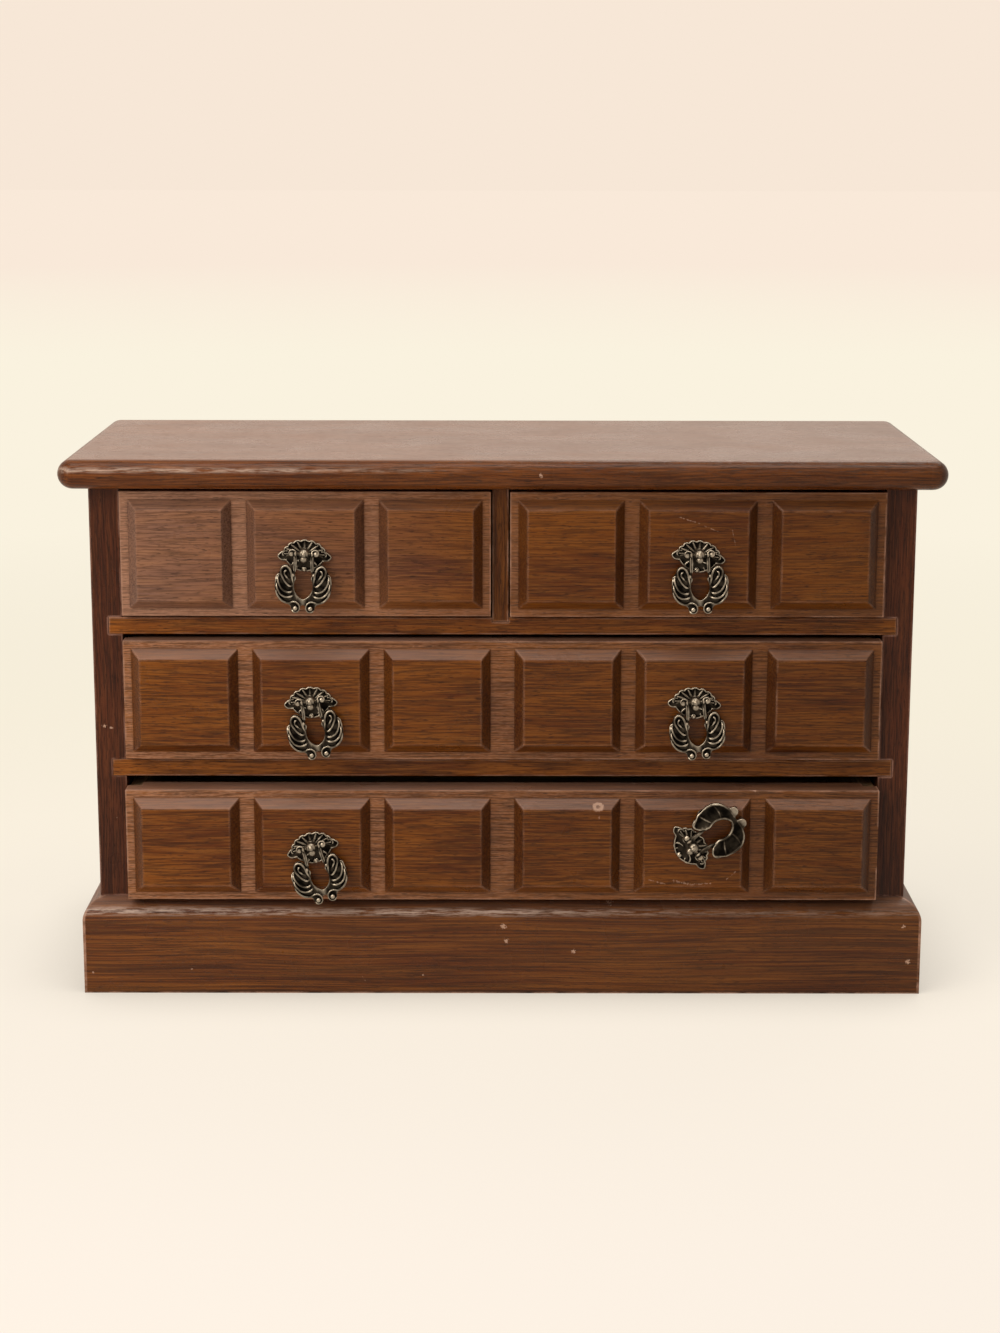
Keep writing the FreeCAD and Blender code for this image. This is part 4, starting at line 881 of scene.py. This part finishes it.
# drawer linings: a sheet of felt, cut to the drawer and glued down at its middle
liningLook = {
    "pile": "#6a2124", "worn": "#86403a", "shade": "#411414",
    "across": 110, "deep": 44,   # faces each way
    "thick": 0.75,               # share of the CAD lining's thickness, so that the waves have room
    "lift": 0.35,                # mm that the felt stands up in its slow waves
    "flatEdge": 6.0,             # mm over which the waves die out towards the edge
    "wander": 0.3,               # mm that the cut strays from a straight line
    "softEdge": 0.4,             # mm that the cut edge's corner is pressed down
    "fuzz": 0.22,                # mm, matted fibres, drawn larger than life so that they show
    "fibre": 0.6, "rub": 38,     # mm across the fibres' tangle and across worn places
    "pileAt": (0.35, 0.65), "wornAt": (0.52, 0.72), "wornMost": 0.5,
}


def feltMaterial():
    # wool felt: no weave, a matted pile that takes light softly and catches a faint fuzz at grazing angles
    look = liningLook
    made, tree = emptyMaterial("woolFelt")
    inMm = placeInMm(tree)
    fibre = addNode(tree, "TexNoise", {
        "Vector": inMm, "Scale": 1 / look["fibre"], "Detail": 3.0, "Distortion": 1.2})
    rub = addNode(tree, "TexNoise", {"Vector": inMm, "Scale": 1 / look["rub"], "Detail": 3.0})
    tone = addNode(tree, "MapRange", [fibre, *look["pileAt"]])
    bare = addNode(tree, "MapRange", [rub, *look["wornAt"], 0.0, look["wornMost"]])
    colour = layOver(tree, linear(look["shade"]), [(tone, look["pile"]), (bare, look["worn"])])
    bump = addNode(tree, "Bump", {"Strength": 0.8, "Distance": look["fuzz"] * mm, "Height": fibre})
    shader = addNode(tree, "BsdfPrincipled", {
        "Base Color": colour, "Roughness": 0.95, "Specular IOR Level": 0.2, "Sheen Weight": 0.35,
        "Sheen Roughness": 0.5, "Normal": bump})
    addNode(tree, "OutputMaterial", {"Surface": shader})
    return made


def makeLining(drawer, material):
    look = liningLook
    low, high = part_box(f"drawer_{drawer}_lining")
    wide, deep, thick = (high - low)
    wander, flatEdge = look["wander"] * mm, look["flatEdge"] * mm
    build = bmesh.new()
    columns, rows = look["across"], look["deep"]

    def layer(top):
        made = []
        for row in range(rows + 1):
            line = []
            for column in range(columns + 1):
                u, v = column / columns, row / rows
                nearEdge = min(u * wide, (1 - u) * wide, v * deep, (1 - v) * deep)
                # the cut edge wanders a little and its corner is soft; the middle rises in slow waves
                strayX = math.sin(v * 23 + 2 * u) * {0: wander, 1: -wander}.get(u, 0.0)
                strayY = math.sin(u * 41) * {0: wander, 1: -wander}.get(v, 0.0)
                wave = math.sin(u * 17 + 3 * v) * math.sin(v * 9 + 2 * u) + 0.5 * math.sin(u * 47 - v * 13)
                rise = max(0.0, 0.5 + 0.33 * wave) * look["lift"] * mm * min(1.0, nearEdge / flatEdge)
                soft = look["softEdge"] * mm if nearEdge == 0 else 0.0
                z = low.z + rise + (thick * look["thick"] - soft if top else 0.0)
                line.append(build.verts.new((low.x + u * wide + strayX, low.y + v * deep + strayY, z)))
            made.append(line)
        return made

    under, over = layer(False), layer(True)
    for row in range(rows):
        for column in range(columns):
            corners = [(row, column), (row, column + 1), (row + 1, column + 1), (row + 1, column)]
            build.faces.new([over[i][k] for i, k in corners])
            build.faces.new([under[i][k] for i, k in corners[:1] + corners[:0:-1]])
    rim = [(row, 0) for row in range(rows)] + [(rows, column) for column in range(columns)]
    rim += [(row, columns) for row in range(rows, 0, -1)] + [(0, column) for column in range(columns, 0, -1)]
    for (i, k), (nextI, nextK) in zip(rim, rim[1:] + rim[:1]):
        build.faces.new((over[i][k], over[nextI][nextK], under[nextI][nextK], under[i][k]))
    bmesh.ops.recalc_face_normals(build, faces=build.faces)
    mesh = bpy.data.meshes.new(f"lining_{drawer}")
    build.to_mesh(mesh)
    build.free()
    mesh.shade_smooth()
    mesh.materials.append(material)
    piece = addObject(f"lining_{drawer}", mesh)
    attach(piece, f"drawer_{drawer}")
    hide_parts(f"drawer_{drawer}_lining")


felt = feltMaterial()
for drawer in ("top_left", "top_right", "middle", "bottom"):
    makeLining(drawer, felt)
print("drawers lined")

# nuts inside the drawers
nutLook = {
    "zinc": "#b9b7ae", "dull": "#7f7d74", "stain": "#5b4a36",
    "cloud": 1.8,  # mm across the cloudy patches
    "tonesAt": (0.36, 0.46, 0.62), "roughAt": (0.35, 0.65), "rough": (0.6, 0.32),
    "dents": 0.05,  # mm
    "round": 0.25, "segments": 2, "sharperThan": 40,
}


def zincMaterial():
    # zinc-plated steel, tumbled: grey with a bluish cast, cloudy, a little rust in places
    look = nutLook
    made, tree = emptyMaterial("zincPlatedSteel")
    cloud = addNode(tree, "TexNoise", {
        "Vector": placeInMm(tree), "Scale": 1 / look["cloud"], "Detail": 4.0})
    tones = [linear(look[tone]) for tone in ("stain", "dull", "zinc")]
    colour = addNode(tree, "ValToRGB", [cloud], stops=list(zip(look["tonesAt"], tones)))
    rough = addNode(tree, "MapRange", [cloud, *look["roughAt"], *look["rough"]])
    bump = addNode(tree, "Bump", {"Strength": 0.5, "Distance": look["dents"] * mm, "Height": cloud})
    shader = addNode(tree, "BsdfPrincipled", {
        "Base Color": colour, "Metallic": 1.0, "Roughness": rough, "Normal": bump})
    addNode(tree, "OutputMaterial", {"Surface": shader})
    return made


zinc = zincMaterial()
for name in [name for name in nodes if name.startswith("pull_nuts_")]:
    easeEdges(nodes[name], zinc, nutLook)
print("nuts finished")
